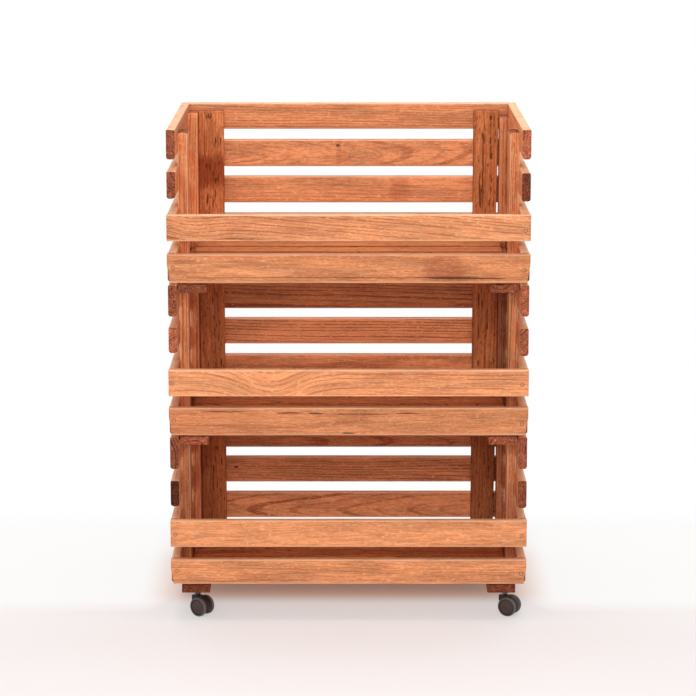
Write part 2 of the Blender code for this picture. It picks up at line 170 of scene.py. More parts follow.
class RackStageProperties(bpy.types.PropertyGroup):
    """Floor, lamps and camera."""
    floor: FloatVectorProperty(
        name="Floor", description="Colour of the floor in front of the rack",
        default=(0.98, 0.905, 0.89), subtype="COLOR", min=0.0, max=1.0)
    floor_white: FloatProperty(
        name="Floor white", description="Share of plain white in the floor that the camera sees",
        default=0.34, min=0.0, max=1.0)
    sky: FloatProperty(
        name="Sky", description="Strength of the even light from all round",
        default=0.46, min=0.0, max=2.0)
    key: FloatProperty(
        name="Key", description="Power of the large soft lamp above the front",
        default=58.0, min=0.0, unit="POWER")
    top: FloatProperty(
        name="Top", description="Power of the soft lamp overhead",
        default=32.0, min=0.0, unit="POWER")
    camera_place: FloatVectorProperty(
        name="Camera place", description="Where the camera stands",
        default=(-0.00094, -4.1264, 1.230), subtype="TRANSLATION", unit="LENGTH")
    camera_drop: FloatProperty(
        name="Camera drop", description="How far the camera looks down",
        default=radians(11.49), subtype="ANGLE")
    lens: FloatProperty(
        name="Lens", description="Focal length in millimetres on a 36 mm sensor",
        default=135.98, min=10.0)


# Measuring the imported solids

def merged(values):
    """Sorted values with those that mean the same place taken as one."""
    kept = []
    for value in sorted(values):
        if not kept or value - kept[-1] > SAME_PLACE:
            kept.append(value)
    return kept


def bands_on_face(node, depth_axis, depth, band_axis):
    """The stretches that a node's flat face covers along an axis, out to the boards' edges."""
    places = merged(v.co[band_axis] for v in frame["nodes"][node].data.vertices
                    if abs(v.co[depth_axis] - depth) < SAME_PLACE)
    return [(low - CAD_EDGE_RADIUS, high + CAD_EDGE_RADIUS)
            for low, high in zip(places[0::2], places[1::2])]


def reach_on_face(node, depth_axis, depth, along_axis):
    """The whole stretch that a node's flat face covers along an axis."""
    places = [v.co[along_axis] for v in frame["nodes"][node].data.vertices
              if abs(v.co[depth_axis] - depth) < SAME_PLACE]
    return min(places), max(places)


def nodes_named(start):
    """The nodes whose names start in one way, in order."""
    return sorted(node for node in frame["nodes"] if node.startswith(start))


def joint_named(name):
    """A joint of the record."""
    return next(joint for joint in frame["joints"] if joint["name"] == name)


def middle(place, axis):
    """The middle of a place along an axis."""
    return 0.5 * (place.low[axis] + place.high[axis])


# One board: where it lies, and what its wood looks like

Place = namedtuple("Place", "low high")
# top is the share of a painted highlight on a board's upper narrow face, standing for light from
# above
Look = namedtuple("Look", "across behind slope taper arches spacing grain tone red knots band "
                          "cracks top end_tone")
Finish = namedtuple("Finish", "edge rough_colour rough_shape")

# The first is for slats and rails, then side battens, floor boards, back battens and skids
PLANED = Finish("edge_radius", False, False)
SQUARED = Finish("batten_edge_radius", False, False)
SAWN = Finish("batten_edge_radius", True, False)
ROUGH = Finish("batten_edge_radius", True, True)


def plain_look(name):
    """A look drawn from the piece's own name."""
    draw = Random("wood of " + name)
    side = draw.choice((-1.0, 1.0))
    knots = []
    if draw.random() < 0.3:
        knots.append((draw.uniform(-0.12, 0.12), draw.uniform(-0.014, 0.014),
                      draw.uniform(0.002, 0.0045)))
    return Look(across=draw.uniform(-0.035, 0.035), behind=side * draw.uniform(0.014, 0.045),
                slope=draw.uniform(-0.035, 0.035), taper=draw.uniform(-0.03, 0.03),
                arches=[], spacing=draw.uniform(0.0032, 0.0056), grain=draw.uniform(0.6, 1.0),
                tone=draw.uniform(0.93, 1.05), red=draw.uniform(0.0, 0.8), knots=knots,
                band=(9.0, 0.01, 0.0), cracks=[], top=0.0, end_tone=draw.uniform(0.8, 1.2))


# Looks of the boards that show most, listed one by one, with no knots but those given here.
# A knot is (x, y, radius), an arch (x, height, half width), a band (x, half width, share)
# and a crack (x, y, half length, half width, share of depth)
looks = {
    "top_crate_back_slat_1": dict(
        across=0.050, behind=0.012, slope=0.004, taper=0.0, spacing=0.0042, grain=0.8, tone=1.06,
        red=0.1),
    "top_crate_back_slat_2": dict(
        across=0.003, behind=0.020, slope=-0.01, taper=0.12, spacing=0.0050, grain=0.8, tone=1.13,
        red=0.0, knots=[(-0.0176, 0.0126, 0.0020)], band=(-0.016, 0.004, 0.35),
        cracks=[(0.168, 0.004, 0.008, 0.0009, 0.5)]),
    "top_crate_back_slat_3": dict(
        across=-0.03, behind=0.026, slope=0.012, spacing=0.0050, grain=0.6, tone=1.12, red=0.0,
        band=(0.085, 0.014, 0.42)),
    "top_crate_upper_front_rail_wood": dict(
        across=0.034, behind=0.012, slope=0.085, taper=0.0, arches=[(-0.24, 0.012, 0.05)],
        spacing=0.0048, grain=1.3, tone=1.08, red=0.1, band=(-0.22, 0.20, 0.20)),
    "top_crate_lower_front_rail_wood": dict(
        across=0.008, behind=0.050, slope=0.006, spacing=0.0060, grain=0.35, tone=0.94, red=0.5,
        band=(0.145, 0.026, 0.48),
        cracks=[(0.0, -0.0132, 0.29, 0.0009, 0.55), (0.18, -0.0150, 0.06, 0.0008, 1.0),
                (0.15, -0.0128, 0.05, 0.0008, 0.9)]),
    "middle_crate_back_slat_2": dict(
        across=0.034, behind=0.030, slope=0.02, spacing=0.0052, grain=1.4, tone=0.86, red=0.7),
    "middle_crate_back_slat_3": dict(
        across=0.060, behind=0.006, slope=0.012, taper=0.0, spacing=0.0054, grain=2.4, tone=1.32,
        red=0.0),
    "middle_crate_back_slat_4": dict(
        across=0.01, behind=0.05, slope=0.0, spacing=0.0060, grain=0.6, tone=1.11, red=0.7),
    "middle_crate_upper_front_rail_wood": dict(
        across=0.044, behind=0.010, slope=0.0, taper=0.0, arches=[(-0.12, 0.028, 0.055)],
        spacing=0.0080, grain=0.75, tone=1.16, red=0.0, band=(0.10, 0.19, 0.17)),
    "middle_crate_lower_front_rail_wood": dict(
        across=-0.004, behind=0.040, slope=0.006, spacing=0.0062, grain=0.5, tone=0.91, red=0.5,
        band=(-0.24, 0.14, 0.30),
        cracks=[(-0.19, 0.0155, 0.035, 0.0007, 0.8), (-0.09, 0.0140, 0.022, 0.0008, 0.9),
                (-0.05, 0.0132, 0.012, 0.0010, 1.0), (0.02, 0.0125, 0.05, 0.0006, 0.8),
                (-0.001, -0.0175, 0.010, 0.0010, 0.9), (0.09, 0.0135, 0.02, 0.0007, 0.8)]),
    "bottom_crate_back_slat_2": dict(
        across=0.012, behind=0.028, slope=0.01, spacing=0.0044, grain=1.6, tone=0.98, red=0.4,
        knots=[(-0.17, 0.010, 0.0030)]),
    "bottom_crate_back_slat_3": dict(
        across=0.036, behind=0.014, slope=-0.006, taper=0.0, spacing=0.0040, grain=1.6,
        tone=1.02, red=0.2, knots=[(-0.19, 0.004, 0.0022)]),
    "bottom_crate_back_slat_4": dict(
        across=0.006, behind=0.020, slope=0.0, taper=-0.08, spacing=0.0050, grain=1.5, tone=1.12,
        red=0.3),
    "bottom_crate_upper_front_rail_wood": dict(
        across=0.0, behind=0.060, slope=0.0, spacing=0.0052, grain=0.4, tone=1.01, red=0.2),
    "bottom_crate_lower_front_rail_wood": dict(
        across=0.075, behind=0.010, slope=0.002, spacing=0.0040, grain=0.7, tone=0.97, red=0.3,
        cracks=[(0.0, -0.0130, 0.20, 0.0006, 0.5)]),
    "top_crate_back_left_batten": dict(
        tone=1.10, red=0.1, band=(0.0103, 0.023, 1.0),
        cracks=[(0.104, -0.004, 0.004, 0.0012, 1.0), (0.103, 0.000, 0.004, 0.0011, 0.9),
                (0.100, -0.002, 0.003, 0.0011, 0.8), (-0.025, 0.006, 0.007, 0.0008, 1.0),
                (-0.030, -0.006, 0.006, 0.0008, 0.9), (-0.042, 0.002, 0.007, 0.0008, 1.0),
                (0.060, -0.011, 0.030, 0.0007, 0.6)]),
    "top_crate_back_right_batten": dict(
        tone=0.96, red=0.3,
        cracks=[(0.0145, -0.0045, 0.075, 0.0008, 1.0), (0.1005, 0.0065, 0.003, 0.0012, 1.0),
                (0.1000, 0.0090, 0.003, 0.0012, 0.9), (0.0970, 0.0075, 0.002, 0.0012, 1.0),
                (0.0880, 0.0080, 0.005, 0.0008, 0.9), (0.0620, 0.0078, 0.007, 0.0009, 1.0),
                (0.0480, 0.0086, 0.006, 0.0009, 1.0), (0.0350, 0.0090, 0.005, 0.0008, 0.9),
                (-0.020, -0.0100, 0.030, 0.0010, 0.9), (-0.030, -0.0075, 0.022, 0.0010, 0.8),
                (-0.018, 0.0088, 0.006, 0.0008, 0.8)]),
    "middle_crate_back_right_batten": dict(
        tone=1.04, red=0.2,
        cracks=[(0.0322, -0.0105, 0.0135, 0.0010, 1.0), (-0.0221, -0.0105, 0.0125, 0.0010, 1.0),
                (-0.0747, -0.0105, 0.006, 0.0010, 1.0), (0.000, 0.004, 0.020, 0.0007, 0.7)]),
    "middle_crate_back_left_batten": dict(tone=1.04, red=0.2),
    "bottom_crate_back_right_batten": dict(tone=0.70, red=0.4),
    "bottom_crate_back_left_batten": dict(tone=0.85, red=0.4),
}

# How light the side battens and the sawn front ends are, in the same order as the crates
batten_tones = {
    "left_front_batten": (0.86, 1.30, 1.18), "right_front_batten": (0.92, 0.90, 1.06),
    "left_rear_batten": (1.14, 1.22, 1.30), "right_rear_batten": (0.80, 0.52, 0.86),
}
end_tones = {
    "left_skid_wood": (0.57, 1.20, 0.88), "right_skid_wood": (0.65, 1.10, 0.88),
    "left_slat_1": (0.86, 0.98, 1.05), "left_slat_2": (0.33, 1.50, 1.0),
    "right_slat_1": (1.0, 1.32, 1.55), "right_slat_2": (0.84, 1.18, 0.62),
}


def look_of(name):
    """The look of a board, drawn from its name where none is listed."""
    look = plain_look(name)
    if name.endswith(tuple(batten_tones)):
        look = look._replace(red=0.4, knots=[], spacing=0.0036, slope=0.0, taper=0.0, grain=1.3)
    elif "skid" in name:
        look = look._replace(tone=0.60)
    elif "floor_board" in name:
        look = look._replace(tone=0.88 if name.startswith("top") else 1.2, red=0.15)
    # Side slats and rails get a painted highlight on their upper narrow face
    elif "left_slat" in name or "right_slat" in name:
        look = look._replace(top=0.9)
    elif "rail" in name:
        look = look._replace(top=0.6)
    for column, crate in enumerate(CRATES):
        word = name.removeprefix(f"{crate}_")
        if word in end_tones:
            look = look._replace(end_tone=end_tones[word][column])
        if word in batten_tones:
            look = look._replace(tone=batten_tones[word][column])
    if name in looks:
        look = look._replace(knots=[])._replace(**looks[name])
    return look


# Meshes

def add_object(name, data):
    """A new object in the scene."""
    made = bpy.data.objects.new(name, data)
    bpy.context.scene.collection.objects.link(made)
    return made


def smoothed(mesh, sharp):
    """A mesh shaded smooth, apart from edges sharper than an angle in degrees."""
    mesh.shade_smooth()
    mesh.set_sharp_from_angle(angle=radians(sharp))
    return mesh


def mesh_from(bm, name):
    """A mesh of what was built, with its faces turned outward."""
    bmesh.ops.recalc_face_normals(bm, faces=bm.faces)
    mesh = bpy.data.meshes.new(name)
    bm.to_mesh(mesh)
    bm.free()
    return mesh


def strip(first, second):
    """Four-sided faces between two rings of points."""
    return [(first[k], first[after], second[after], second[k])
            for k, after in enumerate([*range(1, len(first)), 0])]


def circle(radius, height, facets):
    """Points of a circle about Z."""
    return [(radius * cos(2.0 * pi * k / facets), radius * sin(2.0 * pi * k / facets), height)
            for k in range(facets)]


# Board meshes

ARC_STEPS = 4
FACE_STEP = 0.0045
ROUGH_FACE_STEP = 0.0012
STATION_STEP = 0.011
ROUGH_STATION_STEP = 0.0035
END_CHAMFER = 0.00025
BOARD_SHARP = 50.0
EDGE_SHARES = (0.85, 1.45, 1.45, 0.85)
RIPPLE_SCALE = (16.0, 120.0, 120.0)
ROUGH_RIPPLE_SCALE = (55.0, 420.0, 420.0)
CHIP_SCALE = (70.0, 90.0, 90.0)
CHIP_ONSET = 0.18
CHIP_GAIN = 1.4
ROUGH_CHIP_GAIN = 2.2
CRACK_WANDER = 0.0005
CRACK_WANDER_SCALE = (130.0, 0.0, 0.0)
CRACK_SOFTNESS = 0.0004
ON_WIDE_FACE = 0.9
NO_KNOT = (9.0, 9.0, 0.001)


def section(width, thickness, radii, face_step):
    """Points round a board's section as (y, z, outward y, outward z, share on a rounded edge)."""
    points = []
    for index, (y_sign, z_sign) in enumerate(((1, 1), (-1, 1), (-1, -1), (1, -1))):
        radius = radii[index]
        centre = (y_sign * (0.5 * width - radius), z_sign * (0.5 * thickness - radius))
        for step in range(ARC_STEPS + 1):
            angle = radians(90.0 * (index + step / ARC_STEPS))
            points.append((centre[0] + radius * cos(angle), centre[1] + radius * sin(angle),
                           cos(angle), sin(angle), sin(pi * step / ARC_STEPS)))
        y, z, out_y, out_z, _ = points[-1]
        run = (thickness if index % 2 else width) - radius - radii[(index + 1) % 4]
        count = max(1, round(run / face_step))
        points += [(y - out_z * run * step / count, z + out_y * run * step / count,
                    out_y, out_z, 0.0) for step in range(1, count)]
    return np.array(points)


def roughness_at(places, scale, seed):
    """Smooth noise between -1 and 1 at many places."""
    shifted = places * np.array(scale) + seed
    return np.array([noise.noise(Vector(place)) for place in shifted])


def draw_cracks(name, size, count):
    """Short drying cracks along the grain, as (x, y, half length, half width, share of depth)."""
    draw = Random("cracks of " + name)
    return [(draw.uniform(-0.46, 0.46) * size[0], draw.uniform(-0.42, 0.42) * size[1],
             draw.uniform(0.003, 0.009), draw.uniform(0.0006, 0.0010), draw.uniform(0.4, 1.0))
            for _ in range(count)]


def crack_shares(places, outward, cracks):
    """How deep the cracks cut at each place, from 0 to 1, on the two wide faces."""
    shares = np.zeros(len(places))
    wobble = CRACK_WANDER * roughness_at(places, CRACK_WANDER_SCALE, 3.7) if cracks else 0.0
    for x, y, half_length, half_width, share in cracks:
        along = 1.0 - ((places[:, 0] - x) / half_length) ** 2
        beside = 1.0 - np.abs(places[:, 1] - y - wobble) / (half_width + CRACK_SOFTNESS)
        shares = np.maximum(shares, share * np.clip(along, 0, 1) ** 0.5 * np.clip(beside, 0, 1))
    return shares * (np.abs(outward[:, 1]) > ON_WIDE_FACE)


def stations_along(length, fine):
    """Where the rings of points lie along a board, from -1 to 1, with one just inside each end."""
    step = ROUGH_STATION_STEP if fine else STATION_STEP
    inner = np.linspace(-1.0, 1.0, max(3, round(length / step)))
    chamfer = 2.0 * END_CHAMFER / length
    inner[0] += chamfer
    inner[-1] -= chamfer
    return np.concatenate(([-1.0], inner, [1.0]))


def worn_depths(places, on_edge, rough, boards, seed):
    """How far planing, the saw's waves and chipped edges take each place in."""
    height = boards.rough_ripple if rough else boards.ripple
    scale = ROUGH_RIPPLE_SCALE if rough else RIPPLE_SCALE
    depths = boards.planing + height * (0.5 - 0.5 * roughness_at(places, scale, seed))
    chips = np.clip(roughness_at(places, CHIP_SCALE, seed + 9.0) - CHIP_ONSET, 0.0, 1.0)
    return depths + boards.chip_depth * on_edge * chips * (ROUGH_CHIP_GAIN if rough else CHIP_GAIN)


def board_mesh(name, size, look, finish, boards, end_taper=0.0, taper_rise=1.0, end_round=0.0,
               lean=0.0):
    """A worn board with X along its grain. Its end faces hold the second material.

    Its +Y edge leans in by the given length towards its -X end.
    """
    length, width, thickness = size
    draw = Random("shape of " + name)
    edge_radius = getattr(boards, finish.edge)
    radii = [edge_radius * share * draw.uniform(0.85, 1.15) for share in EDGE_SHARES]
    fine = finish.rough_shape or bool(look.cracks)
    ring = section(width, thickness, radii, ROUGH_FACE_STEP if fine else FACE_STEP)
    shares = stations_along(length, fine)
    stations, around = len(shares), len(ring)
    half_length = 0.5 * length - boards.planing
    knee = (taper_rise - 0.5) * width
    ends = half_length - end_taper * np.clip((knee - ring[:, 0]) / (taper_rise * width), 0.0, 1.0)
    ends -= end_round * np.abs(2.0 * ring[:, 1] / thickness) ** 4
    across, outward, on_edge = (np.tile(part, (stations, 1))
                                for part in (ring[:, :2], ring[:, 2:4], ring[:, 4:]))
    places = np.column_stack((np.outer(shares, ends).ravel(), across))
    places[:, 1] -= (lean * (0.5 - places[:, 0] / length)
                     * np.clip(2.0 * places[:, 1] / width, 0.0, 1.0))
    on_edge = on_edge.ravel()
    wear = worn_depths(places, on_edge, finish.rough_shape, boards, draw.uniform(0.0, 50.0))
    cracks = crack_shares(places, outward, look.cracks)
    wear += boards.crack_depth * cracks
    wear[:around] += END_CHAMFER
    wear[-around:] += END_CHAMFER
    places[:, 1:] -= outward * wear[:, None]
    rings = np.arange(stations * around).reshape(stations, around).tolist()
    faces = [face for pair in zip(rings, rings[1:]) for face in strip(*pair)]
    mesh = bpy.data.meshes.new(name)
    mesh.from_pydata(places.tolist(), [], faces + [rings[0][::-1], rings[-1]])
    mesh.polygons.foreach_set(
        "material_index", [1] * around + [0] * ((stations - 3) * around) + [1] * (around + 2))
    # The upper narrow face joins the edge share, as a painted highlight of light from above
    on_edge = np.maximum(on_edge, look.top * (outward[:, 0] > 0.5))
    store_wood(mesh, name, places, look, cracks, on_edge, around)
    return smoothed(mesh, BOARD_SHARP)


def store_wood(mesh, name, places, look, cracks, on_edge, around):
    """Keep on the mesh where its wood lay in the log, and the board's own marks."""
    count = len(places)
    tones = np.full(count, look.tone)
    tones[:around] = tones[-around:] = look.end_tone
    in_log = places.copy()
    in_log[:, 0] += Random("log of " + name).uniform(0.0, 9.0)
    in_log[:, 1] += look.across + look.slope * places[:, 0]
    in_log[:, 2] += look.behind + look.taper * places[:, 0]
    for peak, height, half_width in look.arches:
        in_log[:, 1] += height * np.exp(-((places[:, 0] - peak) / half_width) ** 2)
    first_knot, second_knot = (look.knots + [NO_KNOT, NO_KNOT])[:2]
    same = {key: np.tile(value, (count, 1)) for key, value in (
        ("dark_band", look.band), ("first_knot", first_knot), ("second_knot", second_knot))}
    vectors = {"log_place": in_log, "board_place": places, **same,
               "board_look": np.column_stack((tones, np.full(count, look.spacing),
                                              np.full(count, look.red)))}
    # edge holds the rounded edges, and the upper faces that carry a painted highlight
    numbers = {"crack": cracks, "edge": on_edge, "grain": np.full(count, look.grain)}
    for kind, part, table in (("FLOAT_VECTOR", "vector", vectors), ("FLOAT", "value", numbers)):
        for key, values in table.items():
            mesh.attributes.new(key, kind, "POINT").data.foreach_set(
                part, values.astype(np.float32).ravel())


def lay_board(context, name, place, body, replaced, finish=PLANED, crack_count=0, **shape):
    """Make one board between two corners. Its grain runs along its longest side."""
    span = [high - low for low, high in zip(place.low, place.high)]
    order = sorted(range(3), key=lambda axis: -span[axis])
    size = [span[axis] for axis in order]
    turn = Matrix([[1.0 if order[column] == row else 0.0 for column in range(3)]
                   for row in range(3)])
    if turn.determinant() < 0.0:
        turn[order[2]][2] = -1.0
    look = look_of(name)
    if crack_count:
        look = look._replace(cracks=look.cracks + draw_cracks(name, size, crack_count))
    board = add_object(name, board_mesh(name, size, look, finish, context.scene.rack_boards,
                                        **shape))
    centre = [middle(place, axis) for axis in range(3)]
    board.matrix_world = Matrix.Translation(centre) @ turn.to_4x4()
    wood = context.scene.rack_wood
    rough = finish.rough_colour
    board.data.materials.append(
        wood_material("rough_stained_wood" if rough else "stained_wood", wood, rough))
    board.data.materials.append(end_grain_material("stained_end_grain", wood))
    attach(board, body)
    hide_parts(*replaced)


def fill_solid(context, node, body, finish=PLANED, **shape):
    """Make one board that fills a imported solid."""
    lay_board(context, f"{node}_wood", Place(*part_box(node)), body, [node], finish, **shape)


# Materials

FACE_GLOSS = 0.14
EDGE_GLOSS = 0.75
ROUGH_GLOSS = 0.08
# Near-black painted into a wheel's groove as shade
GROOVE_SHADE_COLOUR = (0.006, 0.004, 0.003)


class Wires:
    """A node tree whose nodes are added and wired one by one."""

    def __init__(self, tree):
        self.tree = tree

    def feed(self, socket, value):
        """Wire an output to a socket, or set the socket's own value."""
        if isinstance(value, bpy.types.NodeSocket):
            self.tree.links.new(value, socket)
        else:
            socket.default_value = value

    def node(self, kind, *values, **settings):
        """Add a node, with its first inputs fed in order."""
        made = self.tree.nodes.new(kind)
        for key, value in settings.items():
            setattr(made, key, value)
        for socket, value in zip(made.inputs, values):
            self.feed(socket, value)
        return made

    def math(self, operation, *values):
        """One sum."""
        return self.node("ShaderNodeMath", *values, operation=operation).outputs[0]

    def chain(self, operation, total, *values):
        """The same sum carried on through several values."""
        for value in values:
            total = self.math(operation, total, value)
        return total

    plus = partialmethod(chain, "ADD")
    times = partialmethod(chain, "MULTIPLY")
    largest = partialmethod(chain, "MAXIMUM")

    def vector(self, operation, *values):
        """One sum on vectors. A length comes out as a number."""
        made = self.node("ShaderNodeVectorMath", *values, operation=operation)
        return made.outputs["Value" if operation == "LENGTH" else "Vector"]

    def attribute(self, name, output="Vector"):
        """What the mesh keeps under a name."""
        return self.node("ShaderNodeAttribute", attribute_name=name).outputs[output]

    def object_place(self):
        """Where a point lies on its own mesh."""
        return self.node("ShaderNodeTexCoord").outputs["Object"]

    def parts(self, vector):
        """The three numbers of a vector."""
        return self.node("ShaderNodeSeparateXYZ", vector).outputs

    def noise(self, vector, scale, detail=2.0, rough=0.5, shift=None):
        """Smooth noise from 0 to 1. A scale of two numbers is that along and across the grain."""
        if shift:
            vector = self.vector("ADD", vector, shift)
        made = self.node("ShaderNodeTexNoise")
        self.feed(made.inputs["Vector"],
                  self.vector("MULTIPLY", vector, (*scale, scale[-1])[:3]))
        for socket, value in (("Scale", 1.0), ("Detail", detail), ("Roughness", rough)):
            made.inputs[socket].default_value = value
        return made.outputs["Fac"]

    def ease(self, value, start, end, low=0.0, high=1.0):
        """A smooth step between two values."""
        return self.node("ShaderNodeMapRange", value, start, end, low, high,
                         interpolation_type="SMOOTHSTEP").outputs[0]

    def spread(self, value, low, high):
        """A value from 0 to 1 spread between two others."""
        return self.node("ShaderNodeMapRange", value, 0.0, 1.0, low, high).outputs[0]

    def mix(self, share, first, second, blend="MIX"):
        """Two colours mixed."""
        made = self.node("ShaderNodeMix", share, data_type="RGBA", blend_type=blend)
        for index, colour in ((6, first), (7, second)):
            if not isinstance(colour, bpy.types.NodeSocket):
                colour = (*colour, 1.0)
            self.feed(made.inputs[index], colour)
        return made.outputs[2]

    def tint(self, colour, by):
        """A colour multiplied by another."""
        return self.mix(1.0, colour, by, "MULTIPLY")

    def shade(self, colour, by):
        """A colour multiplied by a number."""
        return self.tint(colour, self.node("ShaderNodeCombineXYZ", by, by, by).outputs[0])

    def patches(self, colour, value, start, end, share, other):
        """A colour that gives way to a share of another as a value goes from start to end."""
        return self.mix(self.ease(value, start, end, 0.0, share), colour, other)

    def finish(self, colour, roughness, specular, relief, depth):
        """Feed the shader, with a relief of a height from 0 to 1, and give the shader back."""
        shader = self.tree.nodes["Principled BSDF"]
        bump = self.node("ShaderNodeBump")
        for node, socket, value in (
                (bump, "Strength", 1.0), (bump, "Distance", depth), (bump, "Height", relief),
                (shader, "Base Color", colour), (shader, "Roughness", roughness),
                (shader, "Specular IOR Level", specular),
                (shader, "Normal", bump.outputs["Normal"])):
            self.feed(node.inputs[socket], value)
        return shader


def made_once(fill):
    """Make each material once from its name, and give the same one after that."""
    @wraps(fill)
    def give(name, *values, **settings):
        material = bpy.data.materials.get(name)
        if material is None:
            material = bpy.data.materials.new(name)
            material.use_nodes = True
            fill(Wires(material.node_tree), *values, **settings)
        return material
    return give


def ring_wires(wires):
    """Places in the log and on the board, its look, and shares of latewood and knot."""
    place = wires.attribute("log_place")
    board = wires.attribute("board_place")
    look = wires.parts(wires.attribute("board_look"))
    knot_share, shove = 0.0, 0.0
    for name in ("first_knot", "second_knot"):
        knot = wires.attribute(name)
        radius = wires.parts(knot)[2]
        away = wires.vector("MULTIPLY", wires.vector("SUBTRACT", board, knot), (0.62, 1.0, 0.0))
        away = wires.math("DIVIDE", wires.vector("LENGTH", away), radius)
        away = wires.plus(away, wires.spread(wires.noise(place, (90.0, 260.0)), -0.22, 0.22))
        knot_share = wires.largest(knot_share, wires.ease(away, 1.25, 0.75))
        shove = wires.plus(shove, wires.times(wires.ease(away, 4.6, 0.3), radius, 1.7))
    wander = wires.spread(wires.noise(place, (1.8, 16.0), 1.0), -0.011, 0.011)
    fine = wires.spread(wires.noise(place, (9.0, 150.0)), -0.0007, 0.0007)
    out = wires.vector("LENGTH", wires.vector("MULTIPLY", place, (0.0, 1.0, 1.0)))
    out = wires.plus(out, wander, fine, shove, wires.times(wires.parts(place)[0], 0.008))
    phase = wires.math("DIVIDE", out, look[1])
    within = wires.math("FRACT", phase)
    chance = wires.node("ShaderNodeTexWhiteNoise", noise_dimensions="1D")
    wires.feed(chance.inputs["W"], wires.math("FLOOR", phase))
    chance = chance.outputs["Value"]
    onset = wires.spread(chance, 0.52, 0.78)
    rise = wires.ease(within, onset, wires.plus(onset, 0.14))
    late = wires.times(rise, wires.ease(within, 1.0, 0.94), wires.spread(chance, 1.0, 0.55))
    return place, board, look, late, knot_share


def wood_colour(wires, wood, rings, edge_wear_and_painted_light_colour):
    """Colour of a board's faces: rings, streaks, soaked clouds, knots and cracks, with painted
    shade in the cracks and on rough boards' edges, and wear with a painted highlight on planed
    boards' edges and upper faces.
    """
    place, board, look, late, knot_share = rings
    region = wires.noise(place, (3.2, 26.0))
    contrast = wires.times(wires.ease(region, 0.3, 0.7, 0.45, 1.0),
                           wires.attribute("grain", "Fac"))
    colour = wires.mix(wires.times(late, contrast), wood.earlywood, wood.latewood)
    cloud = wires.noise(place, (7.0, 42.0), 3.0, 0.6, shift=(3.3, 0.7, 0.2))
    soaked = wires.times(wires.ease(cloud, 0.5, 0.78), wires.spread(look[2], 0.30, 0.75))
    colour = wires.mix(soaked, colour, wood.cloud)
    streaks = wires.noise(place, (24.0, 320.0), 3.0, 0.75)
    colour = wires.shade(colour, wires.ease(streaks, 0.34, 0.66, 0.84, 1.12))
    threads = wires.noise(place, (38.0, 560.0), 1.5, shift=(1.7, 0.3, 0.9))
    flecks = wires.noise(place, (150.0, 480.0), 1.0, shift=(0.4, 1.9, 0.6))
    for marks, dark, light, share in ((threads, (0.58, 0.66), (0.41, 0.35), 0.36),
                                      (flecks, (0.62, 0.68), (0.38, 0.33), 0.60)):
        colour = wires.patches(colour, marks, *dark, 0.36, wood.latewood)
        colour = wires.patches(colour, marks, *light, share, wood.pale)
    band = wires.parts(wires.attribute("dark_band"))
    beside = wires.math("ABSOLUTE", wires.math("SUBTRACT", wires.parts(board)[0], band[0]))
    ragged = wires.spread(wires.noise(place, (40.0, 95.0), 3.0, 0.65), -0.7, 0.7)
    beside = wires.plus(wires.math("DIVIDE", beside, band[1]), ragged)
    colour = wires.mix(wires.times(wires.ease(beside, 1.6, 0.6), band[2]), colour,
                       wires.tint(colour, (0.60, 0.42, 0.40)))
    broad = wires.noise(place, (8.0, 55.0))
    colour = wires.shade(colour, wires.ease(broad, 0.3, 0.7, 0.84, 1.15))
    colour = wires.mix(wires.times(look[2], wires.ease(region, 0.75, 0.35, 0.4, 1.0)), colour,
                       wires.tint(colour, (1.0, 0.84, 0.74)))
    # Edges take a second colour: pale on planed boards as wear and a painted highlight, dark on
    # rough boards as painted shade between boards
    worn = wires.times(wires.attribute("edge", "Fac"),
                       wires.ease(wires.noise(place, (22.0, 60.0)), 0.3, 0.6, 0.4, 0.9))
    colour = wires.shade(wires.mix(worn, colour, edge_wear_and_painted_light_colour), look[0])
    colour = wires.mix(wires.times(knot_share, 0.86), colour, wood.knot)
    # The bottom of a crack is painted near-black, as shade in the hollow
    crack = wires.attribute("crack", "Fac")
    return wires.patches(colour, crack, 0.05, 0.5, 0.85, wood.knot), streaks


@made_once
def wood_material(wires, wood, rough):
    """Stained board face. Rough-sawn wood is darker, with saw marks across the grain.

    The edges of a planed board, and the upper faces of its slats and rails, are glossier than its
    faces. Their colour goes pale, as wear and a painted highlight; a rough board's edges go dark,
    as painted shade between boards.
    """
    rings = ring_wires(wires)
    place, board, _, late, _ = rings
    # Planed boards' edges go pale as wear and a painted highlight; rough boards' edges go dark as
    # painted shade
    colour, streaks = wood_colour(wires, wood, rings, wood.end_grain if rough else wood.pale)
    relief = wires.plus(wires.times(streaks, 0.55), wires.times(late, 0.45))
    if rough:
        saw = wires.noise(board, (520.0, 45.0), 2.0, 0.6)
        fuzz = wires.noise(place, (42.0, 430.0), 2.0, 0.7)
        torn = wires.noise(place, (75.0, 330.0), 1.0, shift=(0.9, 0.2, 2.3))
        colour = wires.tint(colour, (0.86, 0.76, 0.66))
        colour = wires.patches(colour, fuzz, 0.52, 0.68, 0.55, wood.latewood)
        colour = wires.patches(colour, torn, 0.63, 0.72, 0.70, wood.knot)
        relief = wires.plus(relief, wires.plus(saw, fuzz))
        wires.finish(colour, wires.spread(streaks, 0.85, 0.70), ROUGH_GLOSS, relief, depth=0.00045)
    else:
        shader = wires.finish(colour, wires.spread(streaks, 0.62, 0.48), FACE_GLOSS, relief,
                              depth=0.00028)
        wires.feed(shader.inputs["Specular IOR Level"],
                   wires.spread(wires.attribute("edge", "Fac"), FACE_GLOSS, EDGE_GLOSS))


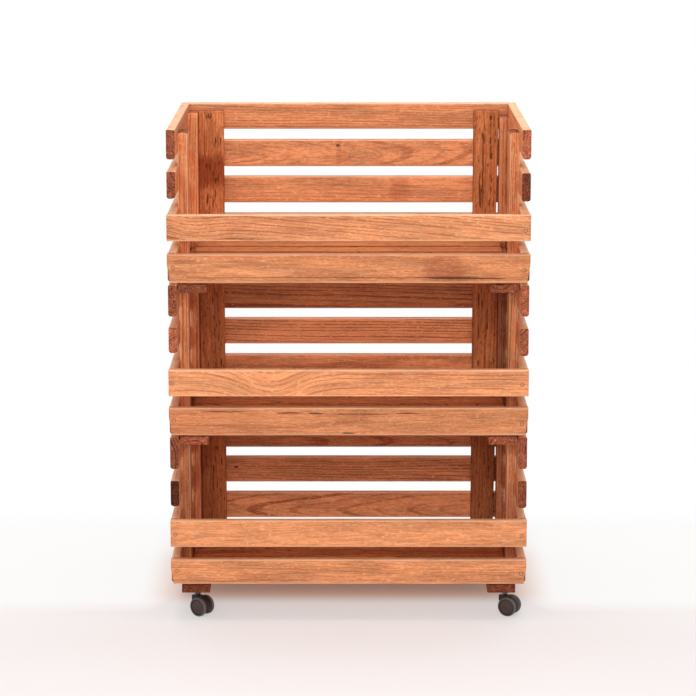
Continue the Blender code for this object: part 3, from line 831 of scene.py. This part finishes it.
@made_once
def end_grain_material(wires, wood):
    """Sawn end of a board, where the stain soaks in dark and the rings show as arcs."""
    place, board, look, late, _ = ring_wires(wires)
    colour = wires.mix(wires.times(late, 0.9), wood.end_grain, wood.knot)
    colour = wires.patches(colour, wires.noise(place, (2.0, 130.0)), 0.42, 0.8, 0.65, wood.cloud)
    fine = wires.noise(place, (8.0, 470.0), 3.0, 0.75)
    colour = wires.shade(colour, wires.ease(fine, 0.36, 0.64, 0.50, 1.62))
    hatch = wires.noise(board, (0.0, 260.0, 900.0), 1.0)
    wires.finish(wires.shade(colour, look[0]), wires.spread(fine, 0.85, 0.65), ROUGH_GLOSS,
                 wires.plus(hatch, fine), depth=0.0004)


@made_once
def nail_material(wires, wood):
    """Nail head with a thin coat of the stain."""
    worn = wires.noise(wires.object_place(), (700.0, 700.0))
    wires.finish(wires.patches(wood.nail, worn, 0.5, 0.75, 1.0, wood.latewood),
                 wires.spread(worn, 0.35, 0.6), 0.1, worn, depth=0.0001)


@made_once
def dark_ring_material(wires, wood):
    """Dark ring round a nail head."""
    soaked = wires.noise(wires.object_place(), (900.0, 900.0))
    wires.finish(wires.mix(soaked, wood.knot, wood.end_grain), 0.8, 0.1, soaked, depth=0.0002)


@made_once
def plastic_material(wires, casters, shade=1.0, tread_highlight_radius=None):
    """Moulded plastic with fine grain and scuffs. A wheel's tread is painted paler, as a painted
    highlight.

    Inside the radius where that starts, a near-black ring is painted into the wheel's groove as
    shade.
    """
    place = wires.object_place()
    grain = wires.noise(place, (2600.0, 2600.0))
    scuffs = wires.noise(place, (240.0, 900.0, 240.0), 3.0, 0.7)
    plain, pale = (tuple(min(1.0, much * shade * value) for value in casters.plastic)
                   for much in (1.0, 2.3))
    colour = wires.patches(plain, scuffs, 0.5, 0.8, 0.7, pale)
    if tread_highlight_radius:
        radius = wires.vector("LENGTH", wires.vector("MULTIPLY", place, (1.0, 0.0, 1.0)))
        worn = wires.plus(radius, wires.spread(scuffs, -0.0004, 0.0004))
        tread = tuple(0.45 * (value + pale[0]) for value in pale)
        # Just inside the tread a near-black ring is painted into the groove as shade
        colour = wires.patches(colour, worn, tread_highlight_radius - 0.0016, tread_highlight_radius - 0.0008, 0.6,
                               GROOVE_SHADE_COLOUR)
        # The tread is painted pale, a painted highlight on its rounded rim
        colour = wires.patches(colour, worn, tread_highlight_radius, tread_highlight_radius + 0.0008, 1.0, tread)
    wires.finish(colour, wires.spread(scuffs, 0.34, 0.58), 0.25, wires.plus(grain, scuffs),
                 depth=0.00006)


@made_once
def steel_material(wires, casters):
    """Zinc plating, painted dark as the shade under the skids, with its fine spangle and dull
    patches.
    """
    spangle = wires.noise(wires.object_place(), (800.0, 800.0), 2.0, 0.6)
    dull = tuple(0.62 * value for value in casters.steel)
    shader = wires.finish(wires.patches(casters.steel, spangle, 0.4, 0.7, 1.0, dull),
                          wires.spread(spangle, 0.26, 0.5), 0.5, spangle, depth=0.00005)
    shader.inputs["Metallic"].default_value = 0.9


# Boards

RAIL_END_TAPER = 0.004
RAIL_TAPER_RISE = 0.65
SKID_CRACKS = 8
batten_cracks = {"bottom_crate": 10, "middle_crate": 10, "top_crate": 26}
batten_end_round = {"front": 0.0026, "rear": 0.001}


def side_word(side):
    """The name of the side at -X or +X."""
    return "left" if side < 0 else "right"


def side_slat_places(crate, side):
    """Places of the four side slats, from the top down."""
    node = f"{crate}_{side_word(side)}_side_panel"
    low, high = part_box(node)
    outer = (low if side < 0 else high).x
    levels = bands_on_face(node, X, outer, Z)[::-1]
    ends = sorted((outer, outer - side * BOARD_THICKNESS))
    return [Place((ends[0], low.y, bottom), (ends[1], high.y, top)) for bottom, top in levels]


def side_batten_places(crate, side):
    """Places of the front and the rear side batten. The top crate's right rear one is short."""
    node = f"{crate}_{side_word(side)}_side_panel"
    low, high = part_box(node)
    outer, inner = (low.x, high.x) if side < 0 else (high.x, low.x)
    bottom, top = reach_on_face(node, X, inner, Z)
    ends = sorted((inner, outer - side * (BOARD_THICKNESS - BATTEN_GROWTH)))
    places = [Place((ends[0], front, bottom), (ends[1], back, top))
              for front, back in bands_on_face(node, X, inner, Y)]
    if side > 0 and crate == "top_crate":
        rear = places[1]
        places[1] = Place(rear.low, (rear.high[0], rear.high[1], top - SHORT_BATTEN_DROP))
    return places


def back_slat_places(crate):
    """Places of the four back slats, from the top down.

    The top crate's lowest hangs a little lower, as no light falls through under its upper rail.
    """
    node = f"{crate}_back_panel"
    low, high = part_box(node)
    levels = bands_on_face(node, Y, slat_back, Z)[::-1]
    if crate == "top_crate":
        levels[-1] = (levels[-1][0] - LOWEST_SLAT_DROP, levels[-1][1])
    return [Place((low.x, slat_back - BOARD_THICKNESS, bottom), (high.x, slat_back, top))
            for bottom, top in levels]


def back_batten_places(crate):
    """Places of the left and the right back batten.

    They are wider by what their edges lose to wear.
    """
    node = f"{crate}_back_panel"
    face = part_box(node)[0].y
    bottom, top = reach_on_face(node, Y, face, Z)
    (outer_left, inner_left), (inner_right, outer_right) = bands_on_face(node, Y, face, X)
    outer_left -= BATTEN_GROWTH
    outer_right += BATTEN_GROWTH
    return [Place((left, face, bottom), (right, slat_back - BOARD_THICKNESS, top))
            for left, right in ((outer_left, inner_left), (inner_right, outer_right))]


class RACK_OT_side_slats(bpy.types.Operator):
    """Make the slats of both sides of every crate"""
    bl_idname = "rack.side_slats"
    bl_label = "Side Slats"

    def execute(self, context):
        for crate in CRATES:
            for side in (-1, 1):
                word = side_word(side)
                for level, place in enumerate(side_slat_places(crate, side), start=1):
                    lay_board(context, f"{crate}_{word}_slat_{level}", place, crate,
                              [f"{crate}_{word}_side_panel"])
        return {"FINISHED"}


class RACK_OT_back_slats(bpy.types.Operator):
    """Make the slats of the back of every crate"""
    bl_idname = "rack.back_slats"
    bl_label = "Back Slats"

    def execute(self, context):
        for crate in CRATES:
            for level, place in enumerate(back_slat_places(crate), start=1):
                lay_board(context, f"{crate}_back_slat_{level}", place, crate,
                          [f"{crate}_back_panel"])
        return {"FINISHED"}


class RACK_OT_front_rails(bpy.types.Operator):
    """Make the two front rails of every crate, the lower ones with ends sawn in"""
    bl_idname = "rack.front_rails"
    bl_label = "Front Rails"

    def execute(self, context):
        for crate in CRATES:
            for word, taper in (("upper", 0.0), ("lower", RAIL_END_TAPER)):
                fill_solid(context, f"{crate}_{word}_front_rail", crate, end_taper=taper,
                           taper_rise=RAIL_TAPER_RISE)
        return {"FINISHED"}


class RACK_OT_battens(bpy.types.Operator):
    """Make the upright battens. Light falls through beside the back's leaning right ones"""
    bl_idname = "rack.battens"
    bl_label = "Battens"

    def execute(self, context):
        for crate in CRATES:
            for side in (-1, 1):
                word = side_word(side)
                for end, place in zip(("front", "rear"), side_batten_places(crate, side)):
                    lay_board(context, f"{crate}_{word}_{end}_batten", place, crate,
                              [f"{crate}_{word}_side_panel"], SQUARED,
                              end_round=batten_end_round[end])
            for word, place in zip(("left", "right"), back_batten_places(crate)):
                open_slit = word == "right" and crate != "middle_crate"
                lay_board(context, f"{crate}_back_{word}_batten", place, crate,
                          [f"{crate}_back_panel"], ROUGH, crack_count=batten_cracks[crate],
                          lean=BATTEN_LEAN if open_slit else 0.0)
        return {"FINISHED"}


class RACK_OT_floors(bpy.types.Operator):
    """Make the floor boards and the skids under them"""
    bl_idname = "rack.floors"
    bl_label = "Floors and Skids"

    def execute(self, context):
        for crate in CRATES:
            for node in nodes_named(f"{crate}_floor_board_"):
                fill_solid(context, node, crate, SAWN)
            for word in ("left", "right"):
                fill_solid(context, f"{crate}_{word}_skid", crate, ROUGH,
                           crack_count=SKID_CRACKS)
        return {"FINISHED"}


# Nails

NAIL_FACETS = 16
ROOM_ABOVE_NAIL = 0.003
ROOM_BELOW_NAIL = 0.005
NAIL_ASIDE = (0.008, 0.012)
NAIL_STRAY = 0.004
SKID_NAIL_REACH = (0.219, 0.226)
nail_profile = ((0.0, -0.00012), (0.0011, -0.00008), (0.0018, -0.00004), (0.0021, -0.00008),
                (0.0022, -0.00050))
dent_profile = ((0.0, 0.0), (0.0010, -0.00002), (0.0011, -0.00030))
dark_ring_profile = ((0.0021, -0.00012), (0.0030, -0.00006), (0.0032, -0.00050))

# Nails in the ends of the front rails: (in from the end, up from the rail's middle)
rail_nails = {
    "top_crate_upper": ((0.0052, 0.002), (0.0080, -0.0038)),
    "top_crate_lower": ((0.0091, 0.0013), (0.0087, -0.0018)),
    "middle_crate_upper": ((0.0050, 0.0), (0.0100, -0.0019)),
    "middle_crate_lower": ((0.0078, 0.002), (0.0096, -0.003)),
    "bottom_crate_upper": ((0.0075, -0.001), (0.0079, -0.0033)),
    "bottom_crate_lower": ((0.0088, 0.0015), (0.0075, -0.0025)),
}


def turned_rings(profile):
    """Points and faces of a profile of (radius, height) turned about Z, facing up."""
    closed = profile[0][0] == 0.0
    rings = [circle(radius, height, NAIL_FACETS) for radius, height in profile[closed:]]
    points = sum(rings, [])
    numbers = np.arange(len(points)).reshape(-1, NAIL_FACETS).tolist()
    faces = [(a, b, c, d) for pair in zip(numbers, numbers[1:]) for a, d, c, b in strip(*pair)]
    if closed:
        points.append((0.0, 0.0, profile[0][1]))
        faces += [(len(points) - 1, k, (k + 1) % NAIL_FACETS) for k in range(NAIL_FACETS)]
    return points, faces


def nails_object(context, name, places, body):
    """Nail heads at (point, outward direction) places, each in a dark ring."""
    points, faces, marks = [], [], []
    shapes = [(turned_rings(profile), mark)
              for profile, mark in ((nail_profile, 0), (dent_profile, 1), (dark_ring_profile, 1))]
    for spot, outward in places:
        turn = Vector(outward).to_track_quat("Z", "Y").to_matrix()
        for (shape_points, shape_faces), mark in shapes:
            base = len(points)
            points += [tuple(turn @ Vector(point) + Vector(spot)) for point in shape_points]
            faces += [tuple(base + index for index in face) for face in shape_faces]
            marks += [mark] * len(shape_faces)
    mesh = bpy.data.meshes.new(name)
    mesh.from_pydata(points, [], faces)
    mesh.polygons.foreach_set("material_index", marks)
    mesh.shade_smooth()
    wood = context.scene.rack_wood
    mesh.materials.append(nail_material("stained_nail", wood))
    mesh.materials.append(dark_ring_material("crushed_wood", wood))
    nails = add_object(name, mesh)
    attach(nails, body)


def front_nails(crate):
    """One nail through each end of each rail."""
    for word in ("upper", "lower"):
        rail = Place(*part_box(f"{crate}_{word}_front_rail"))
        for side, (inset, rise) in zip((-1, 1), rail_nails[f"{crate}_{word}"]):
            spot = (side * (rail.high.x - inset), rail.low.y, middle(rail, Z) + rise)
            yield spot, (0.0, -1.0, 0.0)


def side_nails(crate):
    """Two nails through each side slat into each batten."""
    draw = Random("side nails of " + crate)
    for side in (-1, 1):
        battens = side_batten_places(crate, side)
        for slat in side_slat_places(crate, side):
            outer = (slat.low if side < 0 else slat.high)[X]
            for batten in battens:
                for shift in (-1.0, 1.0):
                    spot = (outer, middle(batten, Y) + shift * draw.uniform(*NAIL_ASIDE),
                            middle(slat, Z) + shift * draw.uniform(0.006, 0.011))
                    if slat.low[Z] + ROOM_BELOW_NAIL < spot[Z] < batten.high[Z] - ROOM_ABOVE_NAIL:
                        yield spot, (side, 0.0, 0.0)


def back_nails(crate):
    """Nails through each back slat into the battens and into the side slats' ends."""
    draw = Random("back nails of " + crate)
    battens = back_batten_places(crate)
    for slat in back_slat_places(crate):
        for side, batten in zip((-1, 1), battens):
            for shift in (-1.0, 1.0):
                spot = (middle(batten, X) + shift * draw.uniform(*NAIL_ASIDE), slat.high[Y],
                        middle(slat, Z) - shift * draw.uniform(0.006, 0.010))
                if spot[Z] < batten.high[Z] - ROOM_ABOVE_NAIL:
                    yield spot, (0.0, 1.0, 0.0)
            yield ((side * (slat.high[X] - draw.uniform(0.006, 0.008)), slat.high[Y],
                    middle(slat, Z) + draw.uniform(-NAIL_STRAY, NAIL_STRAY)), (0.0, 1.0, 0.0))


def floor_nails(crate):
    """One nail through each end of each floor board into its skid."""
    draw = Random("floor nails of " + crate)
    for node in nodes_named(f"{crate}_floor_board_"):
        board = Place(*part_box(node))
        for side in (-1, 1):
            spot = (side * draw.uniform(*SKID_NAIL_REACH),
                    middle(board, Y) + draw.uniform(-NAIL_STRAY, NAIL_STRAY), board.high.z)
            yield spot, (0.0, 0.0, 1.0)


class RACK_OT_nails(bpy.types.Operator):
    """Drive the nails that hold rails, slats and floor boards"""
    bl_idname = "rack.nails"
    bl_label = "Nails"

    def execute(self, context):
        walls = {"front": front_nails, "side": side_nails, "back": back_nails,
                 "floor": floor_nails}
        for crate in CRATES:
            for word, spots in walls.items():
                nails_object(context, f"{crate}_{word}_nails", spots(crate), crate)
        return {"FINISHED"}


# Casters

HOOD_AXLE = (0.011, 0.015)
HOOD_RADIUS = 0.01575
HOOD_INNER_RADIUS = 0.01245
HALF_WEB = 0.0061
WEB_ROUND = 0.0006
WHEEL_OFFSET = 0.0065
RIM_RADIUS = 0.0124
# How much darker the hood's plastic is painted, as shade between the wheels
HOOD_PAINTED_SHADE = 0.45
TURNED_SHARP = 38.0
SCREW_SHARP = 35.0
SCREW_FACETS = 24
RECESS_RADIUS = 0.0006
RECESS_ARM = 1.35
PLATE_UNDERSIDE = 0.0396
screw_spots = ((-0.008, -0.013), (0.008, -0.013), (0.008, 0.013), (-0.008, 0.013))
screw_profile = ((0.0009, -0.00135), (0.0016, -0.00125), (0.0023, -0.00095), (0.0027, -0.0005),
                 (0.0028, -0.0001), (0.0026, 0.0), (0.0014, 0.0), (0.0014, 0.0015))
neck_profile = ((0.0, 0.0285), (0.0060, 0.0285), (0.0060, 0.0312), (0.0058, 0.0317),
                (0.0054, 0.0321), (0.0050, 0.03225), (0.0028, 0.03225), (0.0028, 0.0295),
                (0.0, 0.0295))


def caster_frame(corner):
    """Kingpin place, wheel centre and the angle at which the wheels trail, from the joints."""
    kingpin = Vector(joint_named(f"{corner}_caster_turn")["pos_m"])
    spin = joint_named(f"{corner}_wheel_a_spin")
    axle, axis = Vector(spin["pos_m"]), Vector(spin["axis"])
    return kingpin, axle, atan2(-axis.x, axis.y)


def turned_place(place, angle):
    """A place turned about Z."""
    return Matrix.Translation(place) @ Matrix.Rotation(angle, 4, "Z")


def add_strips(bm, rings):
    """Faces from each ring of points to the next."""
    for pair in zip(rings, rings[1:]):
        for face in strip(*pair):
            bm.faces.new(face)


def turned_mesh(name, profile, facets):
    """A profile of (radius, place) points, from axis to axis, turned about the Y axis."""
    bm = bmesh.new()
    rings = [[bm.verts.new((x, place, z)) for x, z, _ in circle(radius, 0.0, facets)]
             for radius, place in profile[1:-1]]
    add_strips(bm, rings)
    for (_, place), ring in ((profile[0], rings[0]), (profile[-1], rings[-1])):
        pole = bm.verts.new((0.0, place, 0.0))
        for k in range(facets):
            bm.faces.new((pole, ring[k - 1], ring[k]))
    return smoothed(mesh_from(bm, name), TURNED_SHARP)


def arc_points(centre, radius, start, end, steps):
    """Points on an arc, from one angle in degrees to another."""
    angles = [radians(start + (end - start) * k / steps) for k in range(steps + 1)]
    return [(centre[0] + radius * cos(angle), centre[1] + radius * sin(angle))
            for angle in angles]


def wheel_profile():
    """Half section of a wheel from the middle of its cap round the tread to its blind bore."""
    cap = [(0.0, 0.00590), (0.0021, 0.0058), (0.0027, 0.0056), (0.0031, 0.0052)]
    dish = [(0.0040, 0.0050), (0.0075, 0.0051), (0.0104, 0.0053), (0.0108, 0.0052),
            (0.0111, 0.0048), (0.0115, 0.0048), (0.0118, 0.0053)]
    rim = [(0.0122, 0.0059)] + arc_points((0.0135, 0.0045), 0.00145, 90.0, 0.0, 6)
    tread = [(0.01500, 0.0040), (0.01500, 0.0031), (0.01490, 0.00302), (0.01490, 0.00288),
             (0.01500, 0.0028), (0.01500, 0.0016)]
    inner = arc_points((0.0136, 0.0014), 0.0014, 0.0, -90.0, 5)
    hollow = [(0.0118, 0.0), (0.0108, 0.0011), (0.0070, 0.0012), (0.0056, 0.0001),
              (0.0024, 0.0001), (0.0024, 0.0042), (0.0, 0.0042)]
    return cap + dish + rim + tread + inner + hollow


def hood_mesh(name, facets):
    """Swivel body: a rounded web between the wheels under a collared neck."""
    outline = (arc_points(HOOD_AXLE, HOOD_RADIUS, -25.0, 95.0, 30)
               + [(0.0051, 0.0308), (-0.0049, 0.0308), (-0.00515, 0.0302), (-0.0052, 0.0229)]
               + arc_points(HOOD_AXLE, HOOD_INNER_RADIUS, 165.0, 320.0, 36))
    bm = bmesh.new()
    face = bm.faces.new([bm.verts.new((x, -HALF_WEB, z)) for x, z in outline])
    grown = bmesh.ops.extrude_face_region(bm, geom=[face])
    moved = [item for item in grown["geom"] if isinstance(item, bmesh.types.BMVert)]
    bmesh.ops.translate(bm, verts=moved, vec=(0.0, 2.0 * HALF_WEB, 0.0))
    rim = [edge for edge in bm.edges
           if abs(edge.verts[0].co.y - edge.verts[1].co.y) < SAME_PLACE]
    bmesh.ops.bevel(bm, geom=rim, offset=WEB_ROUND, offset_type="OFFSET", segments=3,
                    profile=0.5, affect="EDGES")
    neck = turned_mesh(f"{name}_neck", neck_profile, facets)
    neck.transform(Matrix.Rotation(radians(90.0), 4, "X"))
    return joined_mesh(name, mesh_from(bm, name), neck)


def joined_mesh(name, first, second):
    """Two closed meshes made one by a Boolean union."""
    base, tool = add_object(name, first), add_object(f"{name}_tool", second)
    union = base.modifiers.new("union", "BOOLEAN")
    union.operation, union.solver, union.object = "UNION", "EXACT", tool
    bpy.context.view_layer.update()
    shape = base.evaluated_get(bpy.context.evaluated_depsgraph_get())
    mesh = bpy.data.meshes.new_from_object(shape)
    for item in (base, tool):
        bpy.data.objects.remove(item)
    mesh.name = name
    return smoothed(mesh, TURNED_SHARP)


def screw_mesh(name):
    """Round screw head that hangs below Z = 0, with a cross recess, and its shank above."""
    bm = bmesh.new()
    circles = [[bm.verts.new(point) for point in circle(*ring, SCREW_FACETS)]
               for ring in screw_profile]
    arm_step = SCREW_FACETS // 4
    cross = [bm.verts.new((x, y, z) if k % arm_step else (RECESS_ARM * x, RECESS_ARM * y, z))
             for k, (x, y, z) in enumerate(circle(RECESS_RADIUS, -RECESS_RADIUS, SCREW_FACETS))]
    add_strips(bm, [cross, *circles])
    bm.faces.new(circles[-1])
    bm.faces.new(cross[::-1])
    return smoothed(mesh_from(bm, name), SCREW_SHARP)


def place_mesh(name, mesh, matrix, body, material, replaced=()):
    """Put a mesh in the frame as a piece that rides on a body. Pieces alike share one mesh."""
    piece = add_object(name, mesh)
    piece.matrix_world = matrix
    if not mesh.materials:
        mesh.materials.append(material)
    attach(piece, body)
    if replaced:
        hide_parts(*replaced)


class RACK_OT_caster_hoods(bpy.types.Operator):
    """Make the swivel bodies of the casters"""
    bl_idname = "rack.caster_hoods"
    bl_label = "Caster Hoods"

    def execute(self, context):
        casters = context.scene.rack_casters
        mesh = hood_mesh("caster_hood", casters.facets)
        # The hood is a darker copy of the wheels' plastic: painted shade between the wheels
        plastic = plastic_material("hood_plastic", casters, shade=HOOD_PAINTED_SHADE)
        for corner in CORNERS:
            kingpin, _, trail = caster_frame(corner)
            place_mesh(f"{corner}_hood", mesh, turned_place((kingpin.x, kingpin.y, 0.0), trail),
                       f"{corner}_swivel", plastic, [f"{corner}_caster_hood"])
        return {"FINISHED"}


class RACK_OT_caster_wheels(bpy.types.Operator):
    """Make the wheels of the casters"""
    bl_idname = "rack.caster_wheels"
    bl_label = "Caster Wheels"

    def execute(self, context):
        casters = context.scene.rack_casters
        mesh = turned_mesh("caster_wheel", wheel_profile(), casters.facets)
        plastic = plastic_material("wheel_plastic", casters, tread_highlight_radius=RIM_RADIUS)
        for corner in CORNERS:
            _, axle, trail = caster_frame(corner)
            for word, side, turn in (("a", -1, pi), ("b", 1, 0.0)):
                matrix = (turned_place(axle, trail)
                          @ turned_place((0.0, side * WHEEL_OFFSET, 0.0), turn))
                place_mesh(f"{corner}_wheel_{word}_shell", mesh, matrix,
                           f"{corner}_wheel_{word}", plastic,
                           [f"{corner}_caster_wheel_{word}"])
        return {"FINISHED"}


class RACK_OT_caster_steel(bpy.types.Operator):
    """Finish the plates and axles, and drive the screws of the plates"""
    bl_idname = "rack.caster_steel"
    bl_label = "Caster Steel"

    def execute(self, context):
        steel = steel_material("zinc_steel", context.scene.rack_casters)
        mesh = screw_mesh("plate_screw")
        for corner in CORNERS:
            for word in ("plate", "axle"):
                node = frame["nodes"][f"{corner}_caster_{word}"]
                node.data.materials.clear()
                node.data.materials.append(steel)
            kingpin, _, _ = caster_frame(corner)
            for number, (x, y) in enumerate(screw_spots, start=1):
                matrix = Matrix.Translation((kingpin.x + x, kingpin.y + y, PLATE_UNDERSIDE))
                place_mesh(f"{corner}_plate_screw_{number}", mesh, matrix, "bottom_crate",
                           steel)
        return {"FINISHED"}


# Stage

WHITE = (1.0, 1.0, 1.0)
UNDER_RACK_BOUNCE_COLOUR = (0.97, 0.67, 0.52)
BACKDROP_REACH = 6.5
BACKDROP_HEIGHT = 5.0
BACKDROP_CURVE = 1.2
SENSOR_WIDTH = 36.0


def seen_share(wires):
    """One where a ray from the camera arrives, or one that gloss or glass sends on."""
    ray = wires.node("ShaderNodeLightPath").outputs
    return wires.largest(ray["Is Camera Ray"], ray["Is Glossy Ray"], ray["Is Transmission Ray"])


@made_once
def stage_material(wires, stage):
    """Floor and backdrop: the floor's colour near the rack, plain white for the camera far off.
    Near the rack the white share is painted by place to lighten the floor's shadow, and a warm
    glow is painted under the rack as light bounced from the wood.
    """
    shader = wires.tree.nodes["Principled BSDF"]
    for socket, value in (("Base Color", (*stage.floor, 1.0)), ("Roughness", 0.9),
                          ("Specular IOR Level", 0.1)):
        shader.inputs[socket].default_value = value
    x, y, _ = wires.parts(wires.node("ShaderNodeNewGeometry").outputs["Position"])
    out = wires.math("ABSOLUTE", x)
    # The share of plain white is painted by place: it lightens the floor's shadow beside, in front
    # of and behind the rack, and least under it
    white = stage.floor_white
    near = wires.math("SUBTRACT", wires.ease(y, -0.02, -0.12, 0.45 * white, 1.4 * white),
                      wires.ease(y, -0.17, -0.32, 0.0, 0.4 * white))
    beside = wires.times(wires.ease(out, 0.22, 0.34), wires.ease(y, -0.26, -0.08, 0.0, 0.85))
    behind, ahead = wires.ease(y, -0.12, 0.50), wires.ease(y, -0.62, -1.5)
    share = wires.times(wires.largest(behind, near, beside, ahead), seen_share(wires))
    # Under the rack the emitted colour turns warm: a painted glow of light bounced from the wood
    under = wires.times(wires.ease(out, 0.34, 0.24), wires.ease(y, -0.12, -0.05),
                        wires.ease(y, 0.30, 0.10))
    white_and_painted_bounce = wires.node("ShaderNodeEmission", wires.mix(under, WHITE, UNDER_RACK_BOUNCE_COLOUR), 1.0)
    blend = wires.node("ShaderNodeMixShader", share, shader.outputs[0], white_and_painted_bounce.outputs[0])
    wires.feed(wires.tree.nodes["Material Output"].inputs["Surface"], blend.outputs[0])


def sweep_backdrop(name):
    """A floor that turns up into a wall behind the rack."""
    knee = BACKDROP_REACH - BACKDROP_CURVE
    profile = [(-BACKDROP_REACH, 0.0), (-2.0, 0.0), (0.0, 0.0), (2.0, 0.0), (knee, 0.0)]
    profile += [(knee + BACKDROP_CURVE * sin(angle), BACKDROP_CURVE * (1.0 - cos(angle)))
                for angle in map(radians, range(6, 91, 6))]
    profile += [(BACKDROP_REACH, BACKDROP_HEIGHT)]
    points = [(x, y, z) for y, z in profile for x in (-BACKDROP_REACH, BACKDROP_REACH)]
    faces = [(2 * k, 2 * k + 1, 2 * k + 3, 2 * k + 2) for k in range(len(profile) - 1)]
    mesh = bpy.data.meshes.new(name)
    mesh.from_pydata(points, [], faces)
    mesh.shade_smooth()
    return mesh


def add_lamp(name, place, aim, size, power):
    """One soft rectangular lamp."""
    light = bpy.data.lights.new(name, "AREA")
    light.shape = "RECTANGLE"
    light.size, light.size_y = size
    light.energy = power
    lamp = add_object(name, light)
    lamp.location = place
    lamp.rotation_euler = (Vector(aim) - Vector(place)).to_track_quat("-Z", "Y").to_euler()
    lamp.visible_camera = False


def add_sky(stage):
    """Even white light, seen as plain white."""
    world = bpy.data.worlds.new("sky")
    world.use_nodes = True
    wires = Wires(world.node_tree)
    wires.tree.nodes.clear()
    strength = wires.spread(seen_share(wires), stage.sky, 1.0)
    background = wires.node("ShaderNodeBackground", (*WHITE, 1.0), strength)
    wires.node("ShaderNodeOutputWorld", background.outputs[0])
    return world


def add_camera(stage):
    """The camera of the photograph."""
    camera = add_object("camera", bpy.data.cameras.new("camera"))
    camera.data.sensor_width = SENSOR_WIDTH
    camera.data.lens = stage.lens
    camera.location = stage.camera_place
    camera.rotation_euler = (0.5 * pi - stage.camera_drop, 0.0, 0.0)
    return camera


class RACK_OT_stage(bpy.types.Operator):
    """Set up the floor, the lamps and the camera"""
    bl_idname = "rack.stage"
    bl_label = "Stage"

    def execute(self, context):
        scene, stage = context.scene, context.scene.rack_stage
        floor = add_object("stage_floor", sweep_backdrop("stage_floor"))
        floor.data.materials.append(stage_material("stage_floor", stage))
        add_lamp("key_lamp", place=(-0.3, -3.9, 1.70), aim=(0.0, 0.0, 0.35), size=(2.4, 1.3),
                 power=stage.key)
        add_lamp("top_lamp", place=(0.0, 0.1, 2.6), aim=(0.0, 0.0, 0.3), size=(2.0, 1.6),
                 power=stage.top)
        scene.world = add_sky(stage)
        scene.camera = add_camera(stage)
        scene.view_settings.view_transform = "Standard"
        return {"FINISHED"}


# Panel and registration

class RACK_PT_panel(bpy.types.Panel):
    """Steps and settings of the vegetable rack"""
    bl_idname = "RACK_PT_panel"
    bl_label = "Vegetable Rack"
    bl_space_type = "VIEW_3D"
    bl_region_type = "UI"
    bl_category = "Rack"

    def draw(self, context):
        layout = self.layout
        for operator in operators:
            layout.operator(operator.bl_idname)
        for name in settings:
            group = getattr(context.scene, name)
            box = layout.box()
            for key in group.bl_rna.properties.keys():
                if key not in ("rna_type", "name"):
                    box.prop(group, key)


operators = (RACK_OT_stage, RACK_OT_side_slats, RACK_OT_back_slats, RACK_OT_front_rails,
             RACK_OT_battens, RACK_OT_floors, RACK_OT_nails, RACK_OT_caster_hoods,
             RACK_OT_caster_wheels, RACK_OT_caster_steel)
settings = {"rack_boards": RackBoardProperties, "rack_wood": RackWoodProperties,
            "rack_casters": RackCasterProperties, "rack_stage": RackStageProperties}
classes = (*settings.values(), *operators, RACK_PT_panel)


def register():
    """Add the settings, steps and panel."""
    for kind in classes:
        bpy.utils.register_class(kind)
    for name, kind in settings.items():
        setattr(bpy.types.Scene, name, PointerProperty(type=kind))


def unregister():
    """Take them away again."""
    for name in settings:
        delattr(bpy.types.Scene, name)
    for kind in reversed(classes):
        bpy.utils.unregister_class(kind)


def main():
    """Make the rack and its stage."""
    register()
    bpy.ops.rack.stage()
    bpy.ops.rack.side_slats()
    bpy.ops.rack.back_slats()
    bpy.ops.rack.front_rails()
    bpy.ops.rack.battens()
    bpy.ops.rack.floors()
    bpy.ops.rack.nails()
    bpy.ops.rack.caster_hoods()
    bpy.ops.rack.caster_wheels()
    bpy.ops.rack.caster_steel()


if __name__ == "__main__":
    main()
